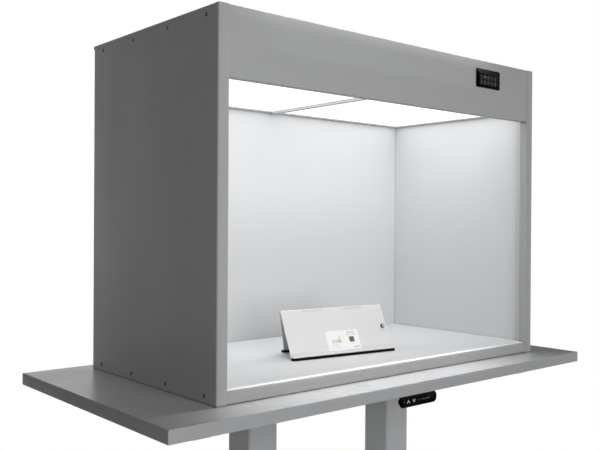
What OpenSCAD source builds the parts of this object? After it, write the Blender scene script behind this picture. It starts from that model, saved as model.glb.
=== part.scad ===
// Colour viewing booth on a height-adjustable table.
// Origin on the floor under the middle of the worktop, +X to the right, +Y to the back, +Z up.

/* [Worktop] */
// Width of the worktop
worktop_w = 1250; // [1150:10:1600]
// Depth of the worktop
worktop_d = 620; // [600:10:800]
// Thickness of the worktop
worktop_t = 25; // [18:1:40]
// Thickness of the edge band glued round the board
band_t = 2; // [1:0.5:3]

/* [Cabinet] */
// Width of the cabinet
cab_w = 1000; // [900:10:1100]
// Depth of the cabinet
cab_d = 500; // [450:10:520]
// Height of the cabinet
cab_h = 740; // [680:10:900]
// Worktop left free beside the cabinet's left side
cab_left = 150; // [20:5:150]
// Worktop left free in front of the cabinet
cab_front = 80; // [20:5:100]
// Thickness of the outer steel sheet
skin_t = 1.5; // [1:0.1:2]
// Width of the side panel's front flange
flange_w = 22; // [18:1:30]
// Depth of the folds that run back from the front
return_d = 20; // [15:1:28]
// Width of the inward lips at the side panel's back and bottom
lip_w = 15; // [12:1:17]
// Height of the front fascia
fascia_h = 134; // [110:1:160]
// Height of the bottom rail
rail_h = 26; // [22:1:34]
// Height of the roof's lip over the side panel
roof_lip = 8; // [5:0.5:10]
// Distance from the front face to the roof's front edge
roof_setback = 10; // [6:1:14]
// Gap between roof lip and side panel
roof_gap = 0.3; // [0.2:0.1:0.6]
// Width of the seam beside the fascia and the bottom rail
seam = 0.8; // [0.4:0.1:0.9]

/* [Booth lining] */
// Thickness of the white lining sheet
liner_t = 1.2; // [0.8:0.1:1.6]
// Distance from the cabinet's side face to the lining's visible face
liner_side = 12; // [8:0.5:16]
// Distance from the cabinet's back face to the lining's visible face
liner_back = 26; // [15:1:40]
// Distance from the front face to the floor's front edge
floor_setback = 2; // [1:0.5:6]

/* [Light unit] */
// Distance from the cabinet's top down to the underside of the diffusers
lamp_depth = 106; // [96:1:112]
// Thickness of a diffuser
diffuser_t = 3; // [2:0.5:5]
// Width of the ledge that carries the diffusers
ledge_w = 10; // [8:1:20]
// Thickness of that ledge
ledge_t = 3; // [2:0.5:5]
// Width of the bar between the two diffusers
divider_w = 14; // [12:1:24]
// Depth of that bar under the diffusers
divider_drop = 6; // [4:1:15]
// Height of the light chamber, from the diffusers' underside to the lamp tray
chamber_h = 54; // [48:1:60]
// Length of an LED board
led_l = 440; // [300:10:440]
// Width of an LED board
led_w = 180; // [100:5:185]
// Thickness of an LED board
led_t = 1.6; // [1:0.2:2.4]
// Length of the LED driver
driver_l = 220; // [150:5:300]
// Width of the LED driver
driver_w = 60; // [40:2:80]
// Height of the LED driver
driver_h = 32; // [20:1:34]

/* [Back] */
// Length of a vent slot
vent_l = 70; // [40:2:80]
// Height of a vent slot
vent_h = 5; // [3:0.5:6]
// Distance between two vent slots, up the panel
vent_pitch = 12; // [8:1:14]
// Height of the lowest vent slot over the lamp tray
vent_low = 12; // [4:1:14]
// Distance between the centres of two vent columns
vent_step = 110; // [90:5:120]
// Distance from the cabinet's left face to the first vent column
vent_side = 115; // [60:5:140]
// Number of vent columns
vent_columns = 5; // [1:1:5]
// Width of the mains inlet's flange
inlet_w = 31; // [30:0.5:36]
// Height of the mains inlet's flange
inlet_h = 24; // [22:0.5:28]
// Depth of the mains inlet behind the back panel
inlet_depth = 24; // [22:1:32]
// Width of the inlet's flange round its body
inlet_rim = 2; // [1.5:0.25:3]
// Wall of the inlet's socket
inlet_wall = 2; // [1:0.25:2.5]
// Depth of the inlet's socket
inlet_recess = 16; // [14:0.5:20]
// Length of the inlet's pins inside the socket
inlet_pin_l = 9; // [6:0.5:12]
// Width of an inlet pin
inlet_pin_w = 4; // [3:0.25:5]
// Thickness of an inlet pin
inlet_pin_t = 2; // [1.5:0.25:2.5]
// Distance from the socket's middle to an outer pin
inlet_pin_x = 7; // [5:0.25:8]
// Height of the middle pin over the socket's middle
inlet_pin_z = 2; // [1.5:0.25:4]
// Distance from the cabinet's right face to the inlet's centre
inlet_side = 90; // [60:5:120]
// Distance from the cabinet's top to the inlet's centre
inlet_top = 35; // [30:1:45]

/* [Screws] */
// Radius of a screw's head
head_r = 4; // [3:0.25:5]
// Height of a screw's head
head_h = 2.4; // [1.5:0.1:3]
// Radius of a screw's shank
shank_r = 2; // [1.5:0.1:2.5]
// Length of a screw's shank
shank_l = 8; // [7:0.5:12]
// Distance from the cabinet's front face to the first side screw
screw_front = 40; // [32:1:60]
// Distance between two side screws
screw_pitch = 139; // [120:1:140]
// Distance from the cabinet's top to the upper side screws
screw_top = 16; // [13:0.5:20]
// Height of the lower side screws
screw_low = 15; // [9:0.5:17]
// Distance from the cabinet's top and bottom to the first screw of the back panel
screw_back = 60; // [40:1:120]

/* [Keypad] */
// Width of the keypad
pad_w = 95; // [80:1:120]
// Height of the keypad
pad_h = 45; // [40:1:60]
// Distance from the cabinet's right face to the keypad
pad_right = 145; // [60:5:400]
// Distance from the cabinet's top to the keypad
pad_top = 21; // [14:1:60]
// How far the keypad stands proud of the fascia
pad_proud = 1.5; // [1:0.1:3]
// Depth of the keypad's housing behind the fascia's face
pad_depth = 9; // [8:0.5:14]
// Radius of the keypad's corners
pad_corner = 3; // [2:0.5:5]
// Radius of a keypad key
pad_key_r = 4.2; // [3:0.1:4.6]
// Distance between two keys along a row
pad_pitch_x = 14; // [12:0.5:16]
// Distance between the two rows of keys
pad_pitch_z = 12.6; // [12:0.2:14]
// Distance from the keypad's top to the upper row of keys
pad_row_top = 19.5; // [18:0.5:22]

/* [Keys] */
// How far a key stands proud at rest
key_proud = 0.8; // [0.7:0.1:1.5]
// Travel of a key
key_travel = 0.5; // [0.2:0.1:0.6]
// Radial clearance round a key
key_gap = 0.1; // [0.05:0.01:0.15]
// Width of the collar that keeps a key in
collar_w = 0.8; // [0.5:0.1:1]
// Thickness of that collar
collar_t = 1; // [0.6:0.1:1.5]
// Depth of the collar under the keypad's face
collar_depth = 4.5; // [3:0.5:6]
// Clearance in front of that collar at rest
collar_gap = 0.05; // [0.02:0.01:0.1]

/* [Handset] */
// Width of the handset
hand_w = 118; // [110:1:140]
// Height of the handset
hand_h = 24; // [22:1:30]
// Depth of the handset
hand_d = 70; // [50:1:90]
// Distance from the cabinet's left face to the handset
hand_left = 406; // [200:1:700]
// Distance from the worktop's front edge back to the handset's face
hand_setback = 1.5; // [1:0.5:10]
// Radius of the handset's ends
hand_corner = 10; // [6:0.5:10.5]
// Depth of the handset's face, in front of its narrower tail
hand_face = 9; // [8.5:0.25:14]
// Distance from the handset's ends to the tail's sides
hand_inset = 20; // [12:1:30]
// Height of the tail under the worktop
hand_tail = 8; // [6:0.5:12]
// Depth of a key's bore behind its collar's front
hand_pocket = 3; // [2:0.25:3.5]
// Radius of the up and down keys
lift_key_r = 6.5; // [5:0.1:7]
// Radius of a memory key
memory_key_r = 2.8; // [2:0.1:2.9]
// Distance from the handset's left end to the up key
lift_key_x = 26; // [22:0.5:27]
// Distance between the up and the down key
lift_key_pitch = 18; // [17:0.5:20]
// Distance from the down key to the first memory key
memory_key_gap = 12.5; // [12.5:0.5:16]
// Distance between two memory keys
memory_pitch = 9; // [8:0.25:9]

/* [Table frame] */
// Height of the steel frame under the worktop
frame_h = 45; // [43:1:60]
// Wall of the frame's channels
frame_t = 2; // [1.5:0.25:3]
// Width of a long rail
rail_w = 25; // [20:1:40]
// Width of a cross arm
arm_w = 40; // [30:1:50]
// Length of a cross arm
arm_l = 440; // [380:10:560]
// Height of a cross arm
arm_h = 30; // [20:1:38]
// Length of the frame
frame_l = 1040; // [900:10:1100]
// Gap between a column and a long rail
rail_gap = 5; // [2:1:20]
// Distance from the end of a cross arm to its first screw
arm_screw = 40; // [20:1:60]
// Distance between the two inner screws of a cross arm
arm_screw_pitch = 72; // [40:2:120]
// Thickness of the plate on a column's head
head_plate_t = 5; // [3:0.5:8]
// Width of the control box
control_w = 200; // [150:5:260]
// Depth of the control box
control_d = 90; // [60:5:110]
// Height of the control box
control_h = 30; // [20:1:38]
// Gap between the rear rail and the control box
control_gap = 10; // [4:1:30]

/* [Lifting columns] */
// Distance between the two columns
column_pitch = 436; // [380:4:700]
// Side of the outer tube
outer_w = 80; // [76:1:100]
// Wall of the outer tube
outer_t = 2.5; // [2:0.25:3]
// Length of the outer tube
outer_l = 588; // [540:2:640]
// Side of the inner tube
inner_w = 70; // [60:1:70]
// Wall of the inner tube
inner_t = 3; // [2:0.25:4]
// How far the inner tube ends below the top of the outer tube, fully lowered
inner_top_gap = 14; // [13:1:40]
// Corner radius of the outer tube
tube_corner = 6; // [4:0.5:8]
// Gap between the outer tube and the foot, fully lowered
lowered_gap = 6; // [4:0.5:12]
// Clearance of the sliding faces inside a column
slide_gap = 0.1; // [0.05:0.01:0.2]
// Thickness of the nut block over the inner tube
nut_t = 10; // [6:1:12]
// Depth of the nut block inside the inner tube
nut_plug = 30; // [15:1:60]
// Radius of the spindle
spindle_r = 8; // [6:0.5:10]
// Radius of the spindle's journal in the drive
journal_r = 6; // [4:0.5:5.5]
// Length of the journal inside the drive
journal_l = 15; // [10:1:25]
// Gap between the spindle and the hole in the head plate
head_gap = 5; // [2:0.5:10]
// Length of the spindle below the head plate
spindle_l = 575; // [400:5:580]
// Radial clearance of the spindle
spindle_gap = 0.05; // [0.02:0.01:0.1]
// Height of the drive's gearbox
gearbox_h = 38; // [32:1:40]
// Side of the drive's gearbox
gearbox_w = 76; // [60:1:78]
// Radius of the drive's motor
motor_r = 18; // [12:1:18]
// Length of the drive's motor
motor_l = 100; // [60:5:110]
// Height of the wiper ring under the outer tube
wiper_rim = 2; // [1:0.5:3]
// Height of the wiper ring inside the outer tube
wiper_h = 20; // [10:1:40]

/* [Feet] */
// Length of a foot
foot_l = 600; // [500:10:640]
// Width of a foot
foot_w = 76; // [72:1:110]
// Height of a foot
foot_h = 30; // [26:1:50]
// Wall of a foot
foot_t = 3; // [2:0.5:5]
// Corner radius of a foot
foot_corner = 10; // [6:1:15]
// Height of the seat for the inner tube on a foot
seat_h = 4; // [2:0.5:8]
// Height from the floor to the foot's underside
foot_clear = 12; // [10:1:20]
// Radius of a levelling foot's pad
leveller_r = 20; // [15:1:25]
// Height of a levelling foot's pad
leveller_h = 8; // [5:1:9]
// Radius of a levelling foot's stud
stud_r = 4; // [3:0.5:6]
// Length of the stud inside the foot
stud_l = 18; // [10:1:20]
// Distance from the end of a foot to its levelling foot
leveller_end = 30; // [26:1:40]

/* [Sample stand] */
// Width of the stand
stand_w = 292; // [240:2:400]
// Length of the sloping plate
stand_l = 108; // [96:1:140]
// Slope of the plate
stand_slope = 64; // [60:1:70]
// How far each side of the rear leg tapers in towards its foot
leg_taper = 42; // [0:1:45]
// Thickness of the stand's sheet
stand_t = 2; // [1.5:0.25:3]
// Depth of the ledge along the stand's lower edge
stand_ledge = 12; // [6:0.5:14]
// Height of that ledge's lip
stand_lip = 8; // [4:0.5:9]
// Thickness of the rubber strips under the stand
rubber_t = 6; // [2:0.5:7]
// Distance from the cabinet's left face to the stand
stand_x = 317; // [150:1:450]
// Distance from the cabinet's front face to the stand
stand_y = 169; // [70:1:250]
// Turn of the stand about the vertical
stand_turn = -7.5; // [-12:0.5:12]
// Radius of the hinge's knuckles
knuckle_r = 3; // [2.8:0.1:4]
// Radius of the hinge pin
pin_r = 1.5; // [1:0.1:1.8]
// Radial clearance of the hinge pin in the leg
pin_gap = 0.05; // [0.02:0.01:0.1]
// Gap between two knuckles
knuckle_gap = 0.4; // [0.2:0.1:0.8]
// Radius of the knob
knob_r = 5; // [4:0.25:7]
// Height of the knob
knob_h = 4; // [3:0.25:6]
// Radius of the knob's shank
knob_shank_r = 2; // [1.5:0.1:2.5]
// Distance from the plate's right edge to the knob
knob_side = 13; // [12:1:30]
// Distance from the plate's lower edge to the knob
knob_up = 54; // [20:1:75]
// Width of the sample card
card_w = 95; // [60:1:150]
// Height of the sample card
card_h = 50; // [30:1:70]
// Thickness of the sample card
card_t = 0.5; // [0.3:0.1:1]
// Distance from the stand's left edge to the card
card_x = 106; // [20:1:150]
// Clearance under the card
card_gap = 0.1; // [0.05:0.01:0.2]

/* [Hidden] */
$fn = 48;

// Heights of the table, fully lowered
foot_top = foot_clear + foot_h;
seat_top = foot_top + seat_h;
tube_bottom = seat_top + lowered_gap;
tube_top = tube_bottom + outer_l;
frame_top = tube_top + frame_h;
desk_z = frame_top + worktop_t;
head_top = tube_top + head_plate_t;
inner_top = tube_top - inner_top_gap;

// The cabinet's left front bottom corner on the worktop
cab_x = cab_left - worktop_w / 2;
cab_y = cab_front - worktop_d / 2;

// Levels and faces inside the cabinet, from that corner
roof_z = cab_h - skin_t;
fascia_z = cab_h - fascia_h;
floor_t = skin_t;
floor_z = rail_h + floor_t;
diffuser_z = cab_h - lamp_depth;
ledge_z = diffuser_z - ledge_t;
tray_z = diffuser_z + chamber_h;
tray_t = liner_t;
inner_back_y = cab_d - 2 * skin_t;
liner_y = cab_d - liner_back;
ceiling_y = return_d + liner_t;
fold_gap = 0.5;

// Keypad
pad_x = cab_w - pad_right - pad_w;
pad_z = cab_h - pad_top - pad_h;
pad_rim = 3;
pad_columns = 5;
pad_key_z = pad_z + pad_h - pad_row_top;
pad_key_x = pad_x + (pad_w - (pad_columns - 1) * pad_pitch_x) / 2;
board_gap = 0.1;

// Handset
hand_x = cab_x + hand_left;
hand_y = hand_setback - worktop_d / 2;
hand_z = frame_top - hand_h;
key_z = hand_z + hand_h / 2;
memory_x = lift_key_x + lift_key_pitch + memory_key_gap;

// Columns
column_x = [-column_pitch / 2, column_pitch / 2];
bore_w = outer_w - 2 * outer_t;
bore_corner = tube_corner - outer_t;
inner_corner = tube_corner - 1;
inner_bore_w = inner_w - 2 * inner_t;
inner_bore_corner = inner_corner - inner_t;
head_hole_r = spindle_r + head_gap;
rail_y = outer_w / 2 + rail_gap;

// Stand
stand_base = rubber_t + stand_t;
knuckle_bulge = 0.2;
leaf_offset = knuckle_r - knuckle_bulge - stand_t / 2;
hinge_y = stand_l * cos(stand_slope) + leaf_offset * sin(stand_slope);
hinge_z = stand_base + stand_l * sin(stand_slope) - leaf_offset * cos(stand_slope);
knuckles = 5;
knuckle_l = stand_w / knuckles;
rise_y = stand_l * cos(stand_slope);
rise_z = stand_base + stand_l * sin(stand_slope);
half_y = stand_t / 2 * sin(stand_slope);
half_z = stand_t / 2 * cos(stand_slope);
bend_in_y = -half_y - half_z / tan(stand_slope);
bend_out_y = half_y - (stand_t - half_z) / tan(stand_slope);

// Places a shape that is drawn from the cabinet's corner
module in_cabinet() {
    translate([cab_x, cab_y, desk_z]) children();
}

// Mirrors a left-hand cabinet shape to the right-hand side
module to_right() {
    translate([cab_w, 0, 0]) mirror([1, 0, 0]) children();
}

// Square with rounded corners, centred
module rounded_square(w, d, r) {
    square([w - 2 * r, d], center = true);
    square([w, d - 2 * r], center = true);
    for (x = [-1, 1], y = [-1, 1])
        translate([x * (w / 2 - r), y * (d / 2 - r)]) circle(r = r);
}

// Rounded plate in the XZ plane, from y = 0 backwards, with its lower left corner at the origin
module upright_plate(w, h, d, r) {
    translate([w / 2, d, h / 2]) rotate([90, 0, 0]) linear_extrude(d) rounded_square(w, h, r);
}

// Cylinder along +Y from the origin
module rod_y(r, l) {
    rotate([-90, 0, 0]) cylinder(r = r, h = l);
}

// Cylinder along +X from the origin
module rod_x(r, l) {
    rotate([0, 90, 0]) cylinder(r = r, h = l);
}

// ---- Cabinet ----

// Places children at each screw of the left side
module at_side_screws() {
    for (i = [0 : 3], z = [screw_low, cab_h - screw_top])
        translate([0, screw_front + i * screw_pitch, z]) children();
}

// Places children at each screw of the back panel, four up each side
module at_back_screws() {
    for (i = [0 : 3], x = [skin_t + lip_w / 2, cab_w - skin_t - lip_w / 2])
        translate([x, cab_d, screw_back + i * (cab_h - 2 * screw_back) / 3]) children();
}

module side_panel() {
    difference() {
        union() {
            cube([skin_t, cab_d - skin_t, roof_z]);
            cube([skin_t, roof_setback - fold_gap, cab_h]);
            cube([flange_w, skin_t, cab_h]);
            translate([0, 0, roof_z]) cube([flange_w, roof_setback - fold_gap, skin_t]);
            translate([flange_w - skin_t, 0, 0]) cube([skin_t, return_d, roof_z]);
            translate([0, cab_d - 2 * skin_t, 0]) cube([skin_t + lip_w, skin_t, roof_z]);
            cube([skin_t + lip_w, cab_d - skin_t, skin_t]);
        }
        at_side_screws() translate([-1, 0, 0]) rod_x(shank_r, skin_t + 2);
        at_back_screws() translate([0, -3 * skin_t, 0]) rod_y(shank_r, 3 * skin_t);
    }
}

module left_side_panel() {
    color("#6b6b6a") in_cabinet() side_panel();
}

module right_side_panel() {
    color("#6b6b6a") in_cabinet() to_right() side_panel();
}

module roof_panel() {
    out = skin_t + roof_gap;
    color("#8a8a88") in_cabinet() {
        translate([-out, roof_setback, roof_z])
            cube([cab_w + 2 * out, cab_d + out - roof_setback, skin_t]);
        for (x = [-out, cab_w + roof_gap])
            translate([x, roof_setback, cab_h - roof_lip])
                cube([skin_t, cab_d + out - roof_setback, roof_lip]);
        translate([-out, cab_d + roof_gap, cab_h - roof_lip])
            cube([cab_w + 2 * out, skin_t, roof_lip]);
    }
}

module inlet_hole() {
    translate([cab_w - inlet_side - inlet_w / 2 + inlet_rim, cab_d - 3 * skin_t,
               cab_h - inlet_top - inlet_h / 2 + inlet_rim])
        cube([inlet_w - 2 * inlet_rim, 6 * skin_t, inlet_h - 2 * inlet_rim]);
}

module back_panel() {
    color("#7f7f7d") in_cabinet() difference() {
        translate([fold_gap, cab_d - skin_t, 0]) cube([cab_w - 2 * fold_gap, skin_t, roof_z]);
        inlet_hole();
        for (i = [0 : vent_columns - 1], j = [0 : 2])
            translate([vent_side + i * vent_step,
                       cab_d - 2 * skin_t, tray_z + vent_low + j * vent_pitch])
                cube([vent_l, 3 * skin_t, vent_h]);
        at_back_screws() translate([0, -3 * skin_t, 0]) rod_y(shank_r, 4 * skin_t);
    }
}

// Front plate between the side panels' flanges, with its end, top and bottom folds
module front_plate(h) {
    span = cab_w - 2 * flange_w;
    translate([flange_w + seam, 0, 0]) cube([span - 2 * seam, skin_t, h]);
    for (x = [flange_w, cab_w - flange_w - skin_t])
        translate([x, skin_t, 0]) cube([skin_t, return_d - skin_t, h]);
}

module front_fascia() {
    span = cab_w - 2 * flange_w;
    color("#8f8f8f") in_cabinet() difference() {
        union() {
            translate([0, 0, fascia_z]) front_plate(fascia_h - skin_t);
            translate([flange_w + seam, 0, roof_z])
                cube([span - 2 * seam, roof_setback - fold_gap, skin_t]);
            translate([flange_w + seam, 0, fascia_z]) cube([span - 2 * seam, return_d, skin_t]);
        }
        translate([pad_x + pad_rim, -1, pad_z + pad_rim])
            cube([pad_w - 2 * pad_rim, skin_t + 2, pad_h - 2 * pad_rim]);
    }
}

module bottom_rail() {
    span = cab_w - 2 * flange_w;
    color("#a9adb0") in_cabinet() {
        front_plate(rail_h);
        for (z = [0, rail_h - skin_t])
            translate([flange_w + seam, 0, z]) cube([span - 2 * seam, return_d, skin_t]);
    }
}

module floor_panel() {
    color("#d8dde0") in_cabinet() difference() {
        union() {
            translate([skin_t, floor_setback, rail_h])
                cube([cab_w - 2 * skin_t, inner_back_y - floor_setback, floor_t]);
            for (x = [skin_t, cab_w - skin_t - floor_t])
                translate([x, return_d + fold_gap, skin_t])
                    cube([floor_t, inner_back_y - return_d - fold_gap, rail_h]);
            translate([skin_t, inner_back_y - floor_t, skin_t])
                cube([cab_w - 2 * skin_t, floor_t, rail_h]);
        }
        for (x = [0, cab_w - flange_w - fold_gap])
            translate([x, 0, 0]) cube([flange_w + fold_gap, return_d + fold_gap, cab_h]);
        for (x = [0, cab_w]) translate([x - cab_w / 2, 0, 0]) {
            at_side_screws() translate([cab_w / 2 - shank_l, 0, 0]) rod_x(shank_r, 2 * shank_l);
        }
    }
}

// Lining of the left side: its front folds cover the side panel's return, and its lower and
// upper folds run towards the skin
module side_lining() {
    inner_h = ledge_z - floor_z;
    front_y = return_d + fold_gap;
    front_h = fascia_z - seam - floor_z;
    translate([liner_side - liner_t, front_y, floor_z])
        cube([liner_t, liner_y + liner_t - front_y, inner_h]);
    translate([liner_side - liner_t, front_y, floor_z])
        cube([flange_w + 2 * liner_t - liner_side, liner_t, front_h]);
    translate([flange_w, skin_t, floor_z])
        cube([liner_t, front_y + liner_t - skin_t, front_h]);
    for (z = [floor_z, ledge_z - liner_t])
        translate([skin_t, return_d + fold_gap, z])
            cube([liner_side - skin_t, liner_y + liner_t - return_d - fold_gap, liner_t]);
}

module inner_left_wall() {
    color("#d5d8da") in_cabinet() side_lining();
}

module inner_right_wall() {
    color("#d5d8da") in_cabinet() to_right() side_lining();
}

module inner_back_wall() {
    span = cab_w - 2 * liner_side;
    color("#d5d8da") in_cabinet() {
        translate([liner_side, liner_y, floor_z]) cube([span, liner_t, ledge_z - floor_z]);
        for (z = [floor_z, ledge_z - liner_t])
            translate([liner_side, liner_y, z]) cube([span, inner_back_y - liner_y, liner_t]);
    }
}

// ---- Light unit ----

// Left diffuser's outline, from the ledge on the side to the divider's web
diffuser_x = liner_side + liner_t;
diffuser_y = ceiling_y + 2 * liner_t;
diffuser_w = cab_w / 2 - liner_t - diffuser_x;
diffuser_d = liner_y - liner_t - diffuser_y;

module ceiling_frame() {
    color("#5a5c5e") in_cabinet() {
        difference() {
            translate([skin_t, ceiling_y, ledge_z])
                cube([cab_w - 2 * skin_t, inner_back_y - ceiling_y, ledge_t]);
            translate([liner_side + ledge_w, diffuser_y + ledge_w, ledge_z - 1])
                cube([cab_w - 2 * (liner_side + ledge_w),
                      liner_y - ledge_w - diffuser_y - ledge_w, ledge_t + 2]);
        }
        translate([(cab_w - divider_w) / 2, ceiling_y, diffuser_z - divider_drop])
            cube([divider_w, liner_y - ceiling_y - fold_gap, divider_drop]);
        translate([(cab_w - liner_t) / 2, ceiling_y, diffuser_z])
            cube([liner_t, liner_y - ceiling_y, chamber_h / 2]);
        difference() {
            translate([diffuser_x - liner_t, diffuser_y - liner_t, diffuser_z])
                cube([cab_w - 2 * (diffuser_x - liner_t), diffuser_d + 2 * liner_t, chamber_h]);
            translate([diffuser_x, diffuser_y, diffuser_z - 1])
                cube([cab_w - 2 * diffuser_x, diffuser_d, chamber_h + 2]);
        }
    }
}

module diffuser() {
    translate([diffuser_x, diffuser_y, diffuser_z]) cube([diffuser_w, diffuser_d, diffuser_t]);
}

module left_diffuser() {
    color("#ffffff") in_cabinet() diffuser();
}

module right_diffuser() {
    color("#ffffff") in_cabinet() to_right() diffuser();
}

module lamp_tray() {
    wall_h = roof_z - fold_gap - tray_z;
    color("#c9cccd") in_cabinet() difference() {
        union() {
            translate([skin_t, ceiling_y, tray_z])
                cube([cab_w - 2 * skin_t, inner_back_y - ceiling_y, tray_t]);
            for (x = [skin_t, cab_w - skin_t - tray_t])
                translate([x, ceiling_y, tray_z]) cube([tray_t, inner_back_y - ceiling_y, wall_h]);
        }
        for (x = [0, cab_w]) translate([x - cab_w / 2, 0, 0]) {
            at_side_screws() translate([cab_w / 2 - shank_l, 0, 0]) rod_x(shank_r, 2 * shank_l);
        }
    }
}

module led_boards() {
    color("#f2f2ee") in_cabinet()
        for (x = [cab_w / 4 + diffuser_x / 2, cab_w * 3 / 4 - diffuser_x / 2],
             y = [diffuser_y + diffuser_d / 4, diffuser_y + diffuser_d * 3 / 4])
            translate([x - led_l / 2, y - led_w / 2, tray_z - led_t]) cube([led_l, led_w, led_t]);
}

module led_driver() {
    color("#b5b8ba") in_cabinet()
        translate([cab_w / 2 - driver_l / 2, cab_d / 2 - driver_w / 2, tray_z + tray_t])
            cube([driver_l, driver_w, driver_h]);
}

module mains_inlet() {
    body_w = inlet_w - 2 * inlet_rim;
    body_h = inlet_h - 2 * inlet_rim;
    hole_w = body_w - 2 * inlet_wall;
    hole_h = body_h - 2 * inlet_wall;
    floor_y = inlet_wall - inlet_recess;
    color("#1c1c1c") in_cabinet()
        translate([cab_w - inlet_side, cab_d, cab_h - inlet_top]) {
            difference() {
                union() {
                    translate([-inlet_w / 2, 0, -inlet_h / 2]) cube([inlet_w, inlet_wall, inlet_h]);
                    translate([-body_w / 2, inlet_wall - inlet_depth, -body_h / 2])
                        cube([body_w, inlet_depth, body_h]);
                }
                translate([-hole_w / 2, floor_y, -hole_h / 2])
                    cube([hole_w, inlet_recess + 1, hole_h]);
            }
            for (p = [[-1, -1], [1, -1], [0, 1]])
                translate([p[0] * inlet_pin_x - inlet_pin_w / 2, floor_y - 1,
                           p[1] * inlet_pin_z - inlet_pin_t / 2])
                    cube([inlet_pin_w, inlet_pin_l + 1, inlet_pin_t]);
        }
}

// Pan-head screw along +X with its head's underside at the origin
module screw_x() {
    translate([-head_h, 0, 0]) {
        rod_x(head_r, head_h);
        rod_x(shank_r, head_h + shank_l);
    }
}

// Places children at each screw that holds the frame to the worktop
module at_frame_screws() {
    outer = arm_l / 2 - arm_screw;
    for (x = [-1, 1], y = [-outer, -arm_screw_pitch / 2, arm_screw_pitch / 2, outer])
        translate([x * (frame_l - arm_w) / 2, y, frame_top - frame_t]) children();
}

module pan_head_screws() {
    color("#3b3b3b") {
        in_cabinet() {
            at_side_screws() screw_x();
            to_right() at_side_screws() screw_x();
            at_back_screws() rotate([0, 0, -90]) screw_x();
        }
        at_frame_screws() rotate([0, -90, 0]) screw_x();
    }
}

// ---- Keys, drawn along +Y with the surrounding face at y = 0 ----

module key(r, stem) {
    translate([0, -key_proud, 0]) rod_y(r, key_proud + stem);
    translate([0, collar_depth, 0]) rod_y(r + collar_w, collar_t);
}

module key_bore(r, depth) {
    translate([0, -1, 0]) rod_y(r + key_gap, collar_depth + 1);
    translate([0, collar_depth - collar_gap, 0]) rod_y(r + collar_w + 2 * key_gap, depth);
}

// Centre of keypad key i, counted along the upper row and then the lower row
function pad_key_at(i) = [pad_key_x + ((i - 1) % pad_columns) * pad_pitch_x, -pad_proud,
                          pad_key_z - floor((i - 1) / pad_columns) * pad_pitch_z];

module keypad_housing() {
    color("#151515") in_cabinet() difference() {
        union() {
            translate([pad_x, -pad_proud, pad_z]) upright_plate(pad_w, pad_h, pad_proud, pad_corner);
            translate([pad_x + pad_rim, -pad_proud / 2, pad_z + pad_rim])
                cube([pad_w - 2 * pad_rim, pad_depth + pad_proud / 2, pad_h - 2 * pad_rim]);
        }
        for (i = [1 : 10]) translate(pad_key_at(i)) key_bore(pad_key_r, pad_depth + pad_proud + 1);
    }
}

module pad_key(i) {
    color("#2b2b2b") in_cabinet() translate(pad_key_at(i))
        key(pad_key_r, pad_depth + pad_proud - key_travel - board_gap);
}

module control_board() {
    color("#2f5d3a") in_cabinet() translate([pad_x + pad_rim, pad_depth, pad_z + pad_rim])
        cube([pad_w - 2 * pad_rim, led_t, pad_h - 2 * pad_rim]);
}

module handset_body() {
    color("#151515") translate([hand_x, hand_y, hand_z]) difference() {
        union() {
            upright_plate(hand_w, hand_h, hand_face, hand_corner);
            translate([hand_inset, hand_face / 2, hand_h - hand_tail])
                cube([hand_w - 2 * hand_inset, hand_d - hand_face / 2, hand_tail]);
        }
        for (i = [0, 1]) translate([lift_key_x + i * lift_key_pitch, 0, hand_h / 2])
            key_bore(lift_key_r, hand_pocket);
        for (i = [0 : 3]) translate([memory_x + i * memory_pitch, 0, hand_h / 2])
            key_bore(memory_key_r, hand_pocket);
    }
}

module handset_lift_key(i) {
    color("#2b2b2b") translate([hand_x + lift_key_x + i * lift_key_pitch, hand_y, key_z])
        key(lift_key_r, collar_depth + collar_t);
}

module memory_key(i) {
    color("#2b2b2b") translate([hand_x + memory_x + (i - 1) * memory_pitch, hand_y, key_z])
        key(memory_key_r, collar_depth + collar_t);
}

// ---- Sample stand ----

// Places a shape that is drawn from the stand's left front corner on the booth's floor
module in_stand() {
    in_cabinet() translate([stand_x, stand_y, floor_z]) rotate([0, 0, stand_turn]) children();
}

// Places a shape that is drawn on the sloping plate: x along it, y up the slope, z out of its face
module on_plate() {
    translate([0, 0, stand_base]) rotate([stand_slope, 0, 0]) children();
}

// Mirrors a shape of the front plate to the rear leg
module behind_hinge() {
    translate([0, 2 * hinge_y, 0]) mirror([0, 1, 0]) children();
}

// Bent sheet of one leaf: its flat foot, then the slope; lip is the sheet's height at the foot's front edge
module leaf(lip, over) {
    translate([-over, 0, 0]) rotate([90, 0, 90]) linear_extrude(stand_w + 2 * over)
        polygon(concat([[-stand_ledge, rubber_t + lip], [-stand_ledge, rubber_t],
                        [bend_out_y, rubber_t], [rise_y + half_y, rise_z - half_z],
                        [rise_y - half_y, rise_z + half_z], [bend_in_y, stand_base]],
                       lip > stand_t ? [[stand_t - stand_ledge, stand_base],
                                        [stand_t - stand_ledge, rubber_t + lip]] : []));
}

// Front view of the rear leaf
module leg_outline() {
    rotate([90, 0, 0]) translate([0, 0, -2 * stand_l]) linear_extrude(4 * stand_l)
        polygon([[leg_taper, 0], [stand_w - leg_taper, 0], [stand_w - leg_taper, stand_base],
                 [stand_w, hinge_z + knuckle_r], [0, hinge_z + knuckle_r],
                 [leg_taper, stand_base]]);
}

// Rubber strip under a leaf's foot, shortened by side at both ends
module foot_strip(side) {
    translate([side, -stand_ledge, 0]) cube([stand_w - 2 * side, stand_ledge, rubber_t]);
}

// Hinge knuckles from segment a on, every second one
module knuckle_row(a) {
    for (i = [a : 2 : knuckles - 1])
        translate([i * knuckle_l + knuckle_gap / 2, hinge_y, hinge_z])
            rod_x(knuckle_r, knuckle_l - knuckle_gap);
}

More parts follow.
